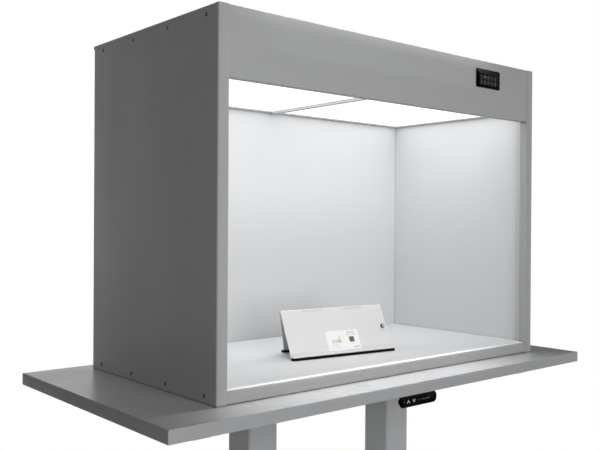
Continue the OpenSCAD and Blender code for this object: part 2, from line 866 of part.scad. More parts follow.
// Room for the other leaf's knuckles and the pin
module knuckle_room(a, bore_r) {
    for (i = [a : 2 : knuckles - 1])
        translate([i * knuckle_l - knuckle_gap / 2, hinge_y, hinge_z])
            rod_x(knuckle_r + knuckle_gap, knuckle_l + knuckle_gap);
    translate([-1, hinge_y, hinge_z]) rod_x(bore_r, stand_w + 2);
}

module stand_plate() {
    color("#e2e2e0") in_stand() difference() {
        union() {
            leaf(stand_lip, 0);
            knuckle_row(0);
        }
        knuckle_room(1, pin_r);
        on_plate() translate([stand_w - knob_side, knob_up, -stand_t])
            cylinder(r = knob_shank_r + pin_gap, h = 2 * stand_t);
    }
}

module stand_leg() {
    color("#c8c8c6") in_stand() difference() {
        union() {
            intersection() {
                behind_hinge() leaf(stand_t, 1);
                leg_outline();
            }
            knuckle_row(1);
        }
        knuckle_room(0, pin_r + pin_gap);
    }
}

module stand_hinge_pin() {
    color("#9a9a98") in_stand() translate([0, hinge_y, hinge_z]) rod_x(pin_r, stand_w);
}

module stand_knob() {
    color("#a7a9ab") in_stand() on_plate() translate([stand_w - knob_side, knob_up, 0]) {
        translate([0, 0, stand_t / 2]) cylinder(r = knob_r, h = knob_h);
        translate([0, 0, -stand_t]) cylinder(r = knob_shank_r, h = 2 * stand_t);
    }
}

module front_rubber() {
    color("#141414") in_stand() foot_strip(0);
}

module rear_rubber() {
    color("#141414") in_stand() behind_hinge() foot_strip(leg_taper);
}

module sample_card() {
    color("#f6f6f2") in_stand() on_plate()
        translate([card_x, stand_t, stand_t / 2 + card_gap]) cube([card_w, card_h, card_t]);
}

// ---- Table ----

module worktop() {
    color("#8c8a87") translate([0, 0, frame_top]) difference() {
        translate([0, 0, worktop_t / 2])
            cube([worktop_w - 2 * band_t, worktop_d - 2 * band_t, worktop_t], center = true);
        translate([0, 0, -frame_top]) at_frame_screws() cylinder(r = shank_r, h = shank_l);
    }
}

module edge_band() {
    color("#8d9395") translate([0, 0, frame_top]) difference() {
        translate([0, 0, worktop_t / 2]) cube([worktop_w, worktop_d, worktop_t], center = true);
        translate([0, 0, worktop_t / 2])
            cube([worktop_w - 2 * band_t, worktop_d - 2 * band_t, worktop_t + 2], center = true);
    }
}

// Box channel along X, open at its underside, centred in x and y
module channel(l, w, h) {
    difference() {
        translate([-l / 2, -w / 2, 0]) cube([l, w, h]);
        translate([frame_t - l / 2, frame_t - w / 2, -1])
            cube([l - 2 * frame_t, w - 2 * frame_t, h - frame_t + 1]);
    }
}

module top_frame() {
    rail_l = frame_l - 2 * arm_w;
    color("#6d6f72") difference() {
        union() {
            for (y = [-1, 1]) translate([0, y * (rail_y + rail_w / 2), head_top])
                channel(rail_l, rail_w, frame_h - head_plate_t);
            for (x = [-1, 1]) translate([x * (frame_l - arm_w) / 2, 0, frame_top - arm_h])
                rotate([0, 0, 90]) channel(arm_l, arm_w, arm_h);
            for (x = column_x) translate([x - outer_w / 2, -rail_y - rail_w, tube_top])
                cube([outer_w, 2 * (rail_y + rail_w), head_plate_t]);
        }
        for (x = column_x) translate([x, 0, tube_top - 1])
            cylinder(r = head_hole_r, h = head_plate_t + 2);
        at_frame_screws() translate([0, 0, -1]) cylinder(r = shank_r, h = frame_t + 2);
    }
}

module control_box() {
    color("#202224") translate([-control_w / 2, rail_y + rail_w + control_gap, frame_top - control_h])
        cube([control_w, control_d, control_h]);
}

// ---- Lifting columns ----

module outer_tube(x) {
    color("#77797c") translate([x, 0, tube_bottom]) linear_extrude(outer_l) difference() {
        rounded_square(outer_w, outer_w, tube_corner);
        rounded_square(bore_w, bore_w, bore_corner);
    }
}

module inner_tube(x) {
    color("#8b8d90") translate([x, 0, seat_top]) linear_extrude(inner_top - seat_top) difference() {
        rounded_square(inner_w, inner_w, inner_corner);
        rounded_square(inner_bore_w, inner_bore_w, inner_bore_corner);
    }
}

module column_wipers() {
    color("#1e1e1e") for (x = column_x) translate([x, 0, tube_bottom - wiper_rim]) difference() {
        union() {
            linear_extrude(wiper_rim) rounded_square(outer_w, outer_w, tube_corner);
            linear_extrude(wiper_rim + wiper_h) rounded_square(bore_w, bore_w, bore_corner);
        }
        translate([0, 0, -1]) linear_extrude(wiper_rim + wiper_h + 2)
            rounded_square(inner_w + 2 * slide_gap, inner_w + 2 * slide_gap, inner_corner);
    }
}

module nut_blocks() {
    color("#e4e0d0") for (x = column_x) translate([x, 0, inner_top]) difference() {
        union() {
            linear_extrude(nut_t)
                rounded_square(bore_w - 2 * slide_gap, bore_w - 2 * slide_gap, bore_corner);
            translate([0, 0, -nut_plug]) linear_extrude(nut_plug)
                rounded_square(inner_bore_w, inner_bore_w, inner_bore_corner);
        }
        translate([0, 0, -nut_plug - 1])
            cylinder(r = spindle_r + spindle_gap, h = nut_plug + nut_t + 2);
    }
}

module spindle(x) {
    color("#b9bbbd") translate([x, 0, 0]) {
        translate([0, 0, tube_top - spindle_l]) cylinder(r = spindle_r, h = spindle_l);
        translate([0, 0, tube_top - 1]) cylinder(r = journal_r, h = head_plate_t + 1 + journal_l);
    }
}

module lift_drives() {
    color("#3a3c3f") for (s = [-1, 1]) translate([s * column_pitch / 2, 0, head_top]) {
        difference() {
            translate([-gearbox_w / 2, -gearbox_w / 2, 0]) cube([gearbox_w, gearbox_w, gearbox_h]);
            translate([0, 0, -1]) cylinder(r = journal_r + spindle_gap, h = journal_l + 2);
        }
        translate([s > 0 ? -gearbox_w / 2 - motor_l : gearbox_w / 2, 0, gearbox_h / 2])
            rod_x(motor_r, motor_l);
    }
}

// ---- Feet ----

module at_levellers(x) {
    for (y = [-1, 1]) translate([x, y * (foot_l / 2 - leveller_end), 0]) children();
}

module foot(x) {
    block = 2 * leveller_end - foot_t;
    color("#77797c") difference() {
        union() {
            translate([x, 0, foot_clear]) difference() {
                linear_extrude(foot_h) rounded_square(foot_w, foot_l, foot_corner);
                translate([-foot_w / 2 + foot_t, -foot_l / 2 + block, -1])
                    cube([foot_w - 2 * foot_t, foot_l - 2 * block, foot_h - foot_t + 1]);
            }
            translate([x, 0, foot_top]) linear_extrude(seat_h)
                rounded_square(inner_w, inner_w, inner_corner);
        }
        at_levellers(x) cylinder(r = stud_r, h = foot_clear + stud_l);
    }
}

module levelling_feet() {
    color("#1b1b1b") for (x = column_x) at_levellers(x) {
        cylinder(r = leveller_r, h = leveller_h);
        cylinder(r = stud_r, h = foot_clear + stud_l);
    }
}

left_side_panel();
right_side_panel();
roof_panel();
back_panel();
front_fascia();
bottom_rail();
floor_panel();
inner_left_wall();
inner_right_wall();
inner_back_wall();
ceiling_frame();
left_diffuser();
right_diffuser();
lamp_tray();
led_boards();
led_driver();
control_board();
keypad_housing();
mains_inlet();
pan_head_screws();
for (i = [1 : 10]) pad_key(i);
stand_plate();
stand_leg();
stand_hinge_pin();
stand_knob();
front_rubber();
rear_rubber();
sample_card();
worktop();
edge_band();
top_frame();
control_box();
handset_body();
handset_lift_key(0);  // handset_up_key
handset_lift_key(1);  // handset_down_key
for (i = [1 : 4]) memory_key(i);
outer_tube(column_x[0]);  // left_outer_tube
outer_tube(column_x[1]);  // right_outer_tube
inner_tube(column_x[0]);  // left_inner_tube
inner_tube(column_x[1]);  // right_inner_tube
lift_drives();
spindle(column_x[0]);  // left_spindle
spindle(column_x[1]);  // right_spindle
nut_blocks();
column_wipers();
foot(column_x[0]);  // left_foot
foot(column_x[1]);  // right_foot
levelling_feet();
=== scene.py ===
"""Visible pieces and finishes of a colour viewing booth on a height-adjustable table."""

import logging
import math
from dataclasses import dataclass, field
from enum import Enum
from typing import Callable, Iterable, Sequence

import bmesh
import bpy
from mathutils import Matrix, Vector


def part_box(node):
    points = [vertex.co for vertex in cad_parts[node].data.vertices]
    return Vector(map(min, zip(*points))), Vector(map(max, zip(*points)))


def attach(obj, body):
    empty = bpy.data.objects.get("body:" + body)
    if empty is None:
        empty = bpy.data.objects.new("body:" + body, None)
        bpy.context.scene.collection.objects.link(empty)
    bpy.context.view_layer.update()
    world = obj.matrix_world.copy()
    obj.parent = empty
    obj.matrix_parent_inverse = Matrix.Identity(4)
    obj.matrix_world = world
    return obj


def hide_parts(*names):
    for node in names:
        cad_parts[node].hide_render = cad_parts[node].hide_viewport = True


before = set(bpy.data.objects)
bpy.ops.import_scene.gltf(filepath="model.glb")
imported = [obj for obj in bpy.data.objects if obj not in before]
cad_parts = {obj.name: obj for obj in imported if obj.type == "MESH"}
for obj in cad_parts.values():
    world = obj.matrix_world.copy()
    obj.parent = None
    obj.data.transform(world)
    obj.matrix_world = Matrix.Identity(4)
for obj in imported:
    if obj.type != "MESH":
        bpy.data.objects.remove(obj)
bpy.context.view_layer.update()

LOG = logging.getLogger("booth")
METRE = 0.001
QUARTER = math.pi / 2
WELD = 1e-4
FOLD_STEPS = 4

Colour = tuple[float, float, float]
Point = tuple[float, float, float]
Flat = tuple[float, float]
Shade = tuple[float, float, float, float]


# ---- Shapes -------------------------------------------------------------------------------


class Shape:
    """A mesh under construction, in millimetres."""

    def __init__(self) -> None:
        """Start with an empty mesh."""
        self.bm = bmesh.new()

    def moved(self, x: float = 0.0, y: float = 0.0, z: float = 0.0) -> "Shape":
        """Shift the whole shape and return it."""
        bmesh.ops.translate(self.bm, vec=(x, y, z), verts=self.bm.verts[:])
        return self

    def turned(self, axis: str, degrees: float) -> "Shape":
        """Turn the whole shape about an axis through its origin.

        Args:
            axis: X, Y or Z.
            degrees: The angle.

        Returns:
            This shape.
        """
        turn = Matrix.Rotation(math.radians(degrees), 3, axis)
        bmesh.ops.rotate(self.bm, cent=(0, 0, 0), matrix=turn, verts=self.bm.verts[:])
        return self

    def placed(self, place: Matrix) -> "Shape":
        """Apply a placement matrix to the whole shape.

        Args:
            place: The matrix; a mirror image keeps its faces outwards.

        Returns:
            This shape.
        """
        bmesh.ops.transform(self.bm, matrix=place, verts=self.bm.verts[:])
        if place.determinant() < 0:
            bmesh.ops.reverse_faces(self.bm, faces=self.bm.faces[:])
        return self

    def painted(self, index: int) -> "Shape":
        """Give every face one of the piece's finishes.

        Args:
            index: Number of the finish in the piece's list.

        Returns:
            This shape.
        """
        for face in self.bm.faces:
            face.material_index = index
        return self

    def add(self, other: "Shape", place: Matrix | None = None) -> "Shape":
        """Copy another shape into this one.

        Args:
            other: The shape to copy; it stays as it is.
            place: Where the copy goes, or None to leave it in place.

        Returns:
            This shape.
        """
        carrier = bpy.data.meshes.new("carrier")
        other.bm.to_mesh(carrier)
        if place is not None:
            carrier.transform(place)
            if place.determinant() < 0:
                carrier.flip_normals()
        self.bm.from_mesh(carrier)
        bpy.data.meshes.remove(carrier)
        return self

    def chain(self, spots: Iterable[Point], closed: bool) -> tuple[list, list]:
        """Add edges through a row of points.

        Args:
            spots: The points.
            closed: Join the last point to the first.

        Returns:
            The new points and the new edges.
        """
        verts = [self.bm.verts.new(spot) for spot in spots]
        pairs = list(zip(verts, verts[1:])) + ([(verts[-1], verts[0])] if closed else [])
        return verts, [self.bm.edges.new(pair) for pair in pairs]

    def drawn(self, edges: Iterable, shift: Point) -> tuple[list, list]:
        """Draw edges out into faces.

        Args:
            edges: The edges to draw out.
            shift: How far, along each axis.

        Returns:
            The new points and the edges between them.
        """
        made = bmesh.ops.extrude_edge_only(self.bm, edges=list(edges))["geom"]
        verts = [g for g in made if isinstance(g, bmesh.types.BMVert)]
        bmesh.ops.translate(self.bm, vec=shift, verts=verts)
        ends = set(verts)
        return verts, [g for g in made if isinstance(g, bmesh.types.BMEdge)
                       and ends.issuperset(g.verts)]

    def fill(self, edges: Iterable) -> None:
        """Close the flat region between several rings of edges."""
        bmesh.ops.triangle_fill(self.bm, edges=list(edges), use_beauty=True, use_dissolve=False)

    def capped(self, edges: Iterable) -> None:
        """Close one ring of edges with a face."""
        bmesh.ops.contextual_create(self.bm, geom=list(edges))

    def outward(self) -> "Shape":
        """Close doubled points and point every face outwards.

        Returns:
            This shape.
        """
        bmesh.ops.remove_doubles(self.bm, verts=self.bm.verts[:], dist=WELD)
        bmesh.ops.recalc_face_normals(self.bm, faces=self.bm.faces[:])
        return self

    def cut(self, point: Point, normal: Point) -> "Shape":
        """Score the faces along a plane.

        Args:
            point: A point of the plane.
            normal: The plane's normal.

        Returns:
            This shape.
        """
        geometry = self.bm.verts[:] + self.bm.edges[:] + self.bm.faces[:]
        bmesh.ops.bisect_plane(self.bm, geom=geometry, dist=WELD,
                               plane_co=point, plane_no=normal)
        return self

    def drop(self, inside: Callable[[Vector], bool]) -> "Shape":
        """Delete the faces whose middle passes a test.

        Args:
            inside: The test, which is given a face's middle.

        Returns:
            This shape.
        """
        gone = [f for f in self.bm.faces if inside(f.calc_center_median())]
        bmesh.ops.delete(self.bm, geom=gone, context="FACES")
        return self

    def rounded(self, radius: float, steps: int,
                choose: Callable[[bmesh.types.BMEdge], bool]) -> "Shape":
        """Round the edges that pass a test.

        Args:
            radius: Distance from the old edge to the ends of the rounding.
            steps: Number of faces across the rounding.
            choose: Says whether an edge is rounded.

        Returns:
            This shape.
        """
        edges = [e for e in self.bm.edges if choose(e)]
        bmesh.ops.bevel(self.bm, geom=edges, offset=radius, offset_type="OFFSET",
                        segments=steps, profile=0.5, affect="EDGES", material=-1,
                        clamp_overlap=True)
        return self

    def thickened(self, thickness: float) -> "Shape":
        """Give an open sheet its wall, on the side away from its normals, and return it."""
        bmesh.ops.solidify(self.bm, geom=self.bm.faces[:], thickness=thickness)
        return self


def joined(*shapes: Shape) -> Shape:
    """One shape that holds copies of several.

    Args:
        shapes: The shapes.

    Returns:
        The new shape.
    """
    whole = Shape()
    for shape in shapes:
        whole.add(shape)
    return whole


def block(low: Point, high: Point, rounding: float = 0.0, steps: int = 2) -> Shape:
    """Box between two corners.

    Args:
        low: Its lowest corner.
        high: Its highest corner.
        rounding: Radius of all its edges, or 0 to leave them sharp.
        steps: Number of faces across each rounding.

    Returns:
        The new shape.
    """
    shape = Shape()
    verts = bmesh.ops.create_cube(shape.bm, size=1.0)["verts"]
    bmesh.ops.scale(shape.bm, vec=[b - a for a, b in zip(low, high)], verts=verts)
    shape.moved(*[(a + b) / 2 for a, b in zip(low, high)])
    if rounding:
        shape.rounded(rounding, steps, lambda edge: True)
    return shape


def lathe(profile: Sequence[Flat], steps: int = 32, ring: bool = False) -> Shape:
    """Profile turned once round the Z axis.

    Args:
        profile: Radius and height of each point.
        steps: Number of faces round the axis.
        ring: Join the last point to the first.

    Returns:
        The new shape.
    """
    shape = Shape()
    verts, edges = shape.chain([(radius, 0, height) for radius, height in profile], ring)
    bmesh.ops.spin(shape.bm, geom=verts + edges, cent=(0, 0, 0), axis=(0, 0, 1),
                   dvec=(0, 0, 0), angle=2 * math.pi, steps=steps, use_merge=True,
                   use_normal_flip=False, use_duplicate=False)
    return shape.outward()


def prism(outline: Sequence[Flat], height: float) -> Shape:
    """Flat outline drawn upwards along Z.

    Args:
        outline: Corners of the base, in order.
        height: Length of the prism.

    Returns:
        The new shape.
    """
    shape = Shape()
    base = shape.bm.faces.new([shape.bm.verts.new((x, y, 0)) for x, y in outline])
    drawn = bmesh.ops.extrude_face_region(shape.bm, geom=[base], use_keep_orig=True)["geom"]
    verts = [g for g in drawn if isinstance(g, bmesh.types.BMVert)]
    bmesh.ops.translate(shape.bm, vec=(0, 0, height), verts=verts)
    return shape.outward()


def sheet(path: Sequence[Flat], length: float, fold: float, closed: bool = False) -> Shape:
    """Open sheet bent along a path, standing along Z, its inner side on the path's right.

    Args:
        path: Corners of the bent sheet, in order.
        length: Length of the sheet along Z.
        fold: Outer radius of its folds.
        closed: Join the last corner to the first.

    Returns:
        The new shape, without a wall.
    """
    shape = Shape()
    edges = shape.chain([(x, y, 0) for x, y in path], closed)[1]
    shape.drawn(edges, (0, 0, length))
    shape.bm.normal_update()
    if fold:
        shape.rounded(fold, FOLD_STEPS, lambda edge: len(edge.link_faces) == 2)
    return shape


class Housing(Shape):
    """A moulded front in the XZ plane that looks along -Y, with openings and a stepped back."""

    def __init__(self, width: float, height: float, corner: float, rim: float) -> None:
        """Draw the front's rounded outline and a rim inside it.

        Args:
            width: Size along X.
            height: Size along Z.
            corner: Radius of the four corners.
            rim: Width kept free of openings for the rounded edge.
        """
        super().__init__()
        spots = ((0, 0), (width, 0), (width, height), (0, height))
        corners = [self.bm.verts.new((x, 0, z)) for x, z in spots]
        self.bm.faces.new(corners)
        bmesh.ops.bevel(self.bm, geom=corners, offset=corner, offset_type="OFFSET", segments=8,
                        profile=0.5, affect="VERTICES", material=-1)
        self.outline = self.bm.edges[:]
        front = self.bm.faces[:]
        bmesh.ops.inset_region(self.bm, faces=front, thickness=rim, use_boundary=True,
                               use_even_offset=True)
        self.front = [e for f in front for e in f.edges]
        bmesh.ops.delete(self.bm, geom=front, context="FACES_ONLY")

    def hole(self, x: float, z: float, radius: float, steps: int = 32) -> list:
        """Add the edge of a round opening.

        Args:
            x: Place of its middle along X.
            z: Place of its middle along Z.
            radius: Its radius.
            steps: Number of edges round it.

        Returns:
            The opening's edges.
        """
        place = Matrix.Translation((x, 0, z)) @ Matrix.Rotation(QUARTER, 4, "X")
        verts = bmesh.ops.create_circle(self.bm, segments=steps, radius=radius,
                                        cap_ends=False, matrix=place)["verts"]
        ring = list({e for v in verts for e in v.link_edges})
        self.front = self.front + ring
        return ring

    def opening(self, low: Flat, high: Flat, chamfer: float) -> list:
        """Add the edge of a square opening with two cut upper corners.

        Args:
            low: Its lowest X and Z.
            high: Its highest X and Z.
            chamfer: Size of the two cut corners.

        Returns:
            The opening's edges.
        """
        spots = ((low[0], low[1]), (high[0], low[1]), (high[0], high[1] - chamfer),
                 (high[0] - chamfer, high[1]), (low[0] + chamfer, high[1]),
                 (low[0], high[1] - chamfer))
        ring = self.chain([(x, 0, z) for x, z in spots], True)[1]
        self.front = self.front + ring
        return ring

    def swept(self, edges: Sequence, back: float, grow: float = 0.0) -> list:
        """Draw a ring of edges backwards, then widen it about its own middle.

        Args:
            edges: The ring.
            back: Distance towards +Y.
            grow: How much wider it becomes on each side; less than 0 narrows it.

        Returns:
            The ring's new edges.
        """
        verts, ring = self.drawn(edges, (0, back, 0))
        if grow:
            low = Vector([min(v.co[i] for v in verts) for i in range(3)])
            high = Vector([max(v.co[i] for v in verts) for i in range(3)])
            middle, size = (low + high) / 2, high - low
            scale = (1 + 2 * grow / size.x, 1, 1 + 2 * grow / size.z)
            bmesh.ops.scale(self.bm, vec=scale, verts=verts, space=Matrix.Translation(-middle))
        return ring


# ---- Material parts -----------------------------------------------------------------------


class Net:
    """Adds nodes to one node tree and links them."""

    def __init__(self, tree: bpy.types.NodeTree) -> None:
        """Keep the tree."""
        self.tree = tree

    def node(self, kind: str, inputs: dict | None = None, **settings: object) -> bpy.types.Node:
        """Add a node.

        Args:
            kind: The node's type.
            inputs: Values or sockets for its inputs, by name or number.
            **settings: The node's own properties.

        Returns:
            The new node.
        """
        made = self.tree.nodes.new(kind)
        for name, value in settings.items():
            setattr(made, name, value)
        for name, value in (inputs or {}).items():
            if isinstance(value, bpy.types.NodeSocket):
                self.tree.links.new(value, made.inputs[name])
            else:
                made.inputs[name].default_value = value
        return made

    def math(self, operation: str, *values: object) -> bpy.types.NodeSocket:
        """Result of a Math node."""
        return self.node("ShaderNodeMath", dict(enumerate(values)),
                         operation=operation).outputs[0]

    def mix(self, factor: object, first: object, second: object) -> bpy.types.NodeSocket:
        """Colour between two colours."""
        return self.node("ShaderNodeMix", {0: factor, 6: first, 7: second},
                         data_type="RGBA").outputs[2]

    def ramp(self, value: object, low: float, high: float, start: float,
             end: float) -> bpy.types.NodeSocket:
        """Value moved from one range to another, and kept inside it."""
        return self.node("ShaderNodeMapRange", {0: value, 1: low, 2: high, 3: start, 4: end},
                         clamp=True).outputs[0]

    def place(self, scale: Point = (1, 1, 1)) -> bpy.types.NodeSocket:
        """The piece's own coordinates, stretched by a scale.

        Args:
            scale: Stretch along each axis.

        Returns:
            The coordinates' socket.
        """
        coordinates = self.node("ShaderNodeTexCoord").outputs["Object"]
        return self.node("ShaderNodeMapping", {"Vector": coordinates,
                                               "Scale": scale}).outputs[0]

    def noise(self, where: object, scale: object, detail: float = 3.0,
              roughness: float = 0.5) -> bpy.types.NodeSocket:
        """Value of a noise texture.

        Args:
            where: The coordinates.
            scale: How fine it is.
            detail: Number of finer layers.
            roughness: Weight of the finer layers.

        Returns:
            Its value.
        """
        return self.node("ShaderNodeTexNoise", {"Vector": where, "Scale": scale,
                                                "Detail": detail,
                                                "Roughness": roughness}).outputs[0]

    def use(self, group: bpy.types.NodeTree, **inputs: object) -> bpy.types.Node:
        """Place a node group with its own values."""
        return self.node("ShaderNodeGroup", inputs, node_tree=group)


Wiring = Callable[[Net, bpy.types.Node], dict[str, bpy.types.NodeSocket]]
Maker = Callable[[], bpy.types.NodeTree]


def effect(name: str, inputs: dict[str, float]) -> Callable[[Wiring], Maker]:
    """Make a wiring function into the maker of a shader node group.

    Args:
        name: The group's name.
        inputs: Its inputs and their plain values.

    Returns:
        A decorator for a function that adds the nodes and returns the outputs by name.
    """

    def decorate(wire: Wiring) -> Maker:
        """Keep the wiring function and return the maker.

        Args:
            wire: Adds the nodes between the inputs and the outputs.

        Returns:
            The group's maker.
        """

        def group() -> bpy.types.NodeTree:
            """Build the group once.

            Returns:
                The group, new or already there.
            """
            if name in bpy.data.node_groups:
                return bpy.data.node_groups[name]
            tree = bpy.data.node_groups.new(name, "ShaderNodeTree")
            for label, value in inputs.items():
                tree.interface.new_socket(label, in_out="INPUT",
                                          socket_type="NodeSocketFloat").default_value = value
            net = Net(tree)
            results = wire(net, net.node("NodeGroupInput"))
            for label in results:
                tree.interface.new_socket(label, in_out="OUTPUT", socket_type="NodeSocketFloat")
            end = net.node("NodeGroupOutput")
            for label, socket in results.items():
                tree.links.new(socket, end.inputs[label])
            return tree

        return group

    return decorate


@effect("Surface grain", {"Scale": 900.0, "Contrast": 1.5, "Speckle": 0.4})
def surface_grain(net: Net, given: bpy.types.Node) -> dict[str, bpy.types.NodeSocket]:
    """The fine orange-peel grain of a sprayed or moulded surface.

    Args:
        net: The group's tree.
        given: Its input node.

    Returns:
        Its outputs by name.
    """
    where = net.place()
    fine = net.noise(where, given.outputs["Scale"], 2.0)
    broad = net.noise(where, 3.1, 4.0, 0.6)
    cloud = net.noise(where, 11.0, 2.0)
    tone = net.math("ADD", net.math("MULTIPLY", broad, 0.7), net.math("MULTIPLY", cloud, 0.3))
    spread = net.math("MULTIPLY", net.math("SUBTRACT", tone, 0.5), given.outputs["Contrast"])
    speck = net.math("MULTIPLY", net.math("SUBTRACT", fine, 0.5), given.outputs["Speckle"])
    total = net.math("ADD", net.math("ADD", spread, speck), 0.5)
    return {"Height": fine, "Tone": net.math("MINIMUM", net.math("MAXIMUM", total, 0.0), 1.0)}


@effect("Edge wear and highlight", {"Radius": 0.001, "Amount": 0.5})
def edge_wear_and_highlight(net: Net, given: bpy.types.Node) -> dict[str, bpy.types.NodeSocket]:
    """A broken mask along convex edges, where handling has rubbed the surface and where a highlight
    is painted on.

    Args:
        net: The group's tree.
        given: Its input node.

    Returns:
        Its outputs by name.
    """
    soft = net.node("ShaderNodeBevel", {"Radius": given.outputs["Radius"]}, samples=4)
    plain = net.node("ShaderNodeNewGeometry").outputs["True Normal"]
    dot = net.node("ShaderNodeVectorMath", {0: soft.outputs[0], 1: plain},
                   operation="DOT_PRODUCT").outputs["Value"]
    edge = net.ramp(dot, 0.995, 0.90, 0.0, 1.0)
    broken = net.ramp(net.noise(net.place(), 160.0, 4.0, 0.7), 0.42, 0.62, 0.0, 1.0)
    rubbed_and_lit = net.math("MULTIPLY", edge, broken)
    return {"Mask": net.math("MULTIPLY", rubbed_and_lit, given.outputs["Amount"])}


@effect("Dust film", {"Amount": 0.2})
def dust_film(net: Net, given: bpy.types.Node) -> dict[str, bpy.types.NodeSocket]:
    """Dust on faces that look up, and faint hand smudges on all faces.

    Args:
        net: The group's tree.
        given: Its input node.

    Returns:
        Its outputs by name.
    """
    up = net.node("ShaderNodeSeparateXYZ",
                  {0: net.node("ShaderNodeNewGeometry").outputs["Normal"]}).outputs[2]
    level = net.ramp(up, 0.4, 1.0, 0.0, 1.0)
    drift = net.ramp(net.noise(net.place(), 5.0, 3.0, 0.5), 0.30, 0.75, 0.0, 1.0)
    dust = net.math("MULTIPLY", net.math("MULTIPLY", level, drift), given.outputs["Amount"])
    smear = net.noise(net.place((1.0, 1.0, 0.35)), 9.0, 5.0, 0.6)
    return {"Dust": dust, "Smudge": net.ramp(smear, 0.3, 0.7, 0.0, 1.0)}


@effect("Crease shade", {"Reach": 0.005, "Amount": 0.5})
def crease_shade(net: Net, given: bpy.types.Node) -> dict[str, bpy.types.NodeSocket]:
    """Painted shade in seams, under lips and round screw heads, darkest where other surfaces are
    close, a little broken by noise.

    Args:
        net: The group's tree.
        given: Its input node.

    Returns:
        Its outputs by name.
    """
    clear = net.node("ShaderNodeAmbientOcclusion", {"Distance": given.outputs["Reach"]},
                     samples=6).outputs["AO"]
    close = net.ramp(clear, 0.90, 0.45, 0.0, 1.0)
    patchy = net.ramp(net.noise(net.place(), 40.0, 3.0), 0.3, 0.6, 0.8, 1.0)
    mask = net.math("MULTIPLY", close, patchy)
    return {"Mask": net.math("MULTIPLY", mask, given.outputs["Amount"])}


@effect("Brushed lines", {"Up": 900.0, "Side": 0.0})
def brushed_lines(net: Net, given: bpy.types.Node) -> dict[str, bpy.types.NodeSocket]:
    """Fine parallel lines left by turning, drawing or cutting.

    Args:
        net: The group's tree.
        given: Its input node.

    Returns:
        Its outputs by name.
    """
    spot = net.node("ShaderNodeSeparateXYZ", {0: net.node("ShaderNodeTexCoord").outputs[3]})
    across = net.math("ADD", net.math("MULTIPLY", spot.outputs[2], given.outputs["Up"]),
                      net.math("MULTIPLY", spot.outputs[0], given.outputs["Side"]))
    line = net.node("ShaderNodeTexNoise", {"W": across, "Scale": 1.0, "Detail": 4.0},
                    noise_dimensions="1D").outputs[0]
    return {"Line": line}


def shade(colour: Colour, factor: float) -> Shade:
    """The colour made lighter or darker, with an alpha of 1."""
    return (*[min(1.0, channel * factor) for channel in colour], 1.0)


# ---- Finishes -----------------------------------------------------------------------------


@dataclass(frozen=True)
class Finish:
    """What all finishes share: a name, the record's slot and a base colour."""

    name: str
    slot: str
    colour: Colour
    roughness: float = 0.5

    def material(self) -> bpy.types.Material:
        """Build the material once.

        Returns:
            The material, new or already there.
        """
        title = f"{self.name}_finish"
        if title in bpy.data.materials:
            return bpy.data.materials[title]
        made = bpy.data.materials.new(title)
        made.use_nodes = True
        made.diffuse_color = (*self.colour, 1.0)
        net = Net(made.node_tree)
        shader = made.node_tree.nodes["Principled BSDF"]
        self.wire(net, shader)
        return made

    def wire(self, net: Net, shader: bpy.types.Node) -> None:
        """Add this finish's nodes in front of the shader.

        Args:
            net: The material's tree.
            shader: Its shader.
        """
        raise NotImplementedError

    def _uneven(self, net: Net, grain: bpy.types.Node, spread: float) -> bpy.types.NodeSocket:
        """The base colour, a little darker and lighter where the grain says so."""
        return net.mix(grain.outputs["Tone"], shade(self.colour, 1 - spread),
                       shade(self.colour, 1 + spread))

    def _link(self, net: Net, shader: bpy.types.Node, **sockets: bpy.types.NodeSocket) -> None:
        """Link sockets to the shader's inputs."""
        for name, socket in sockets.items():
            net.tree.links.new(socket, shader.inputs[name.replace("_", " ")])

    def _cover(self, net: Net, shader: bpy.types.Node, colour: bpy.types.NodeSocket,
               rough: bpy.types.NodeSocket, height: bpy.types.NodeSocket,
               depth: float) -> None:
        """Link colour, roughness and a bump whose full height is depth metres."""
        bump = net.node("ShaderNodeBump", {"Strength": 0.6, "Distance": depth, "Height": height})
        self._link(net, shader, Base_Color=colour, Roughness=rough, Normal=bump.outputs[0])


@dataclass(frozen=True)
class SprayedPaint(Finish):
    """Satin powder coat or lacquer on sheet steel."""

    grain: float = 900.0
    depth: float = 0.00004
    contrast: float = 1.2
    speckle: float = 0.5
    variation: float = 0.06
    wear_and_highlight: float = 0.5
    wear_and_highlight_radius: float = 0.0012
    dust: float = 0.15
    specular: float = 0.1
    crease: float = 0.6
    # The two tones below: the lighter one for rubbed edges and their painted highlight, the darker
    # one for painted shade in creases.
    worn_and_lit_tone: float = 1.55
    crease_shade_tone: float = 0.12
    smear: Flat = (-0.05, 0.07)  # least and most change of roughness
    dust_colour: Shade = (0.62, 0.60, 0.57, 1.0)

    def wire(self, net: Net, shader: bpy.types.Node) -> None:
        """Add the grain, the rubbed edges with their painted highlight, the dust and the painted
        shade in the creases.

        Args:
            net: The material's tree.
            shader: Its shader.
        """
        grain = net.use(surface_grain(), Scale=self.grain, Contrast=self.contrast,
                        Speckle=self.speckle)
        colour = self._uneven(net, grain, self.variation)
        # Convex edges lighten: rubbed paint and a painted highlight along the edges.
        if self.wear_and_highlight:
            worn_and_lit = net.use(edge_wear_and_highlight(), Radius=self.wear_and_highlight_radius, Amount=self.wear_and_highlight)
            colour = net.mix(worn_and_lit.outputs["Mask"], colour, shade(self.colour, self.worn_and_lit_tone))
        film = net.use(dust_film(), Amount=self.dust)
        colour = net.mix(film.outputs["Dust"], colour, self.dust_colour)
        # Creases, seams and the rings round screw heads darken here: painted shade.
        crease_shading = net.use(crease_shade(), Amount=self.crease)
        colour = net.mix(crease_shading.outputs["Mask"], colour, shade(self.colour, self.crease_shade_tone))
        rough = net.ramp(film.outputs["Smudge"], 0.0, 1.0, self.roughness + self.smear[0],
                         self.roughness + self.smear[1])
        self._cover(net, shader, colour, rough, grain.outputs["Height"], self.depth)
        shader.inputs["Specular IOR Level"].default_value = self.specular


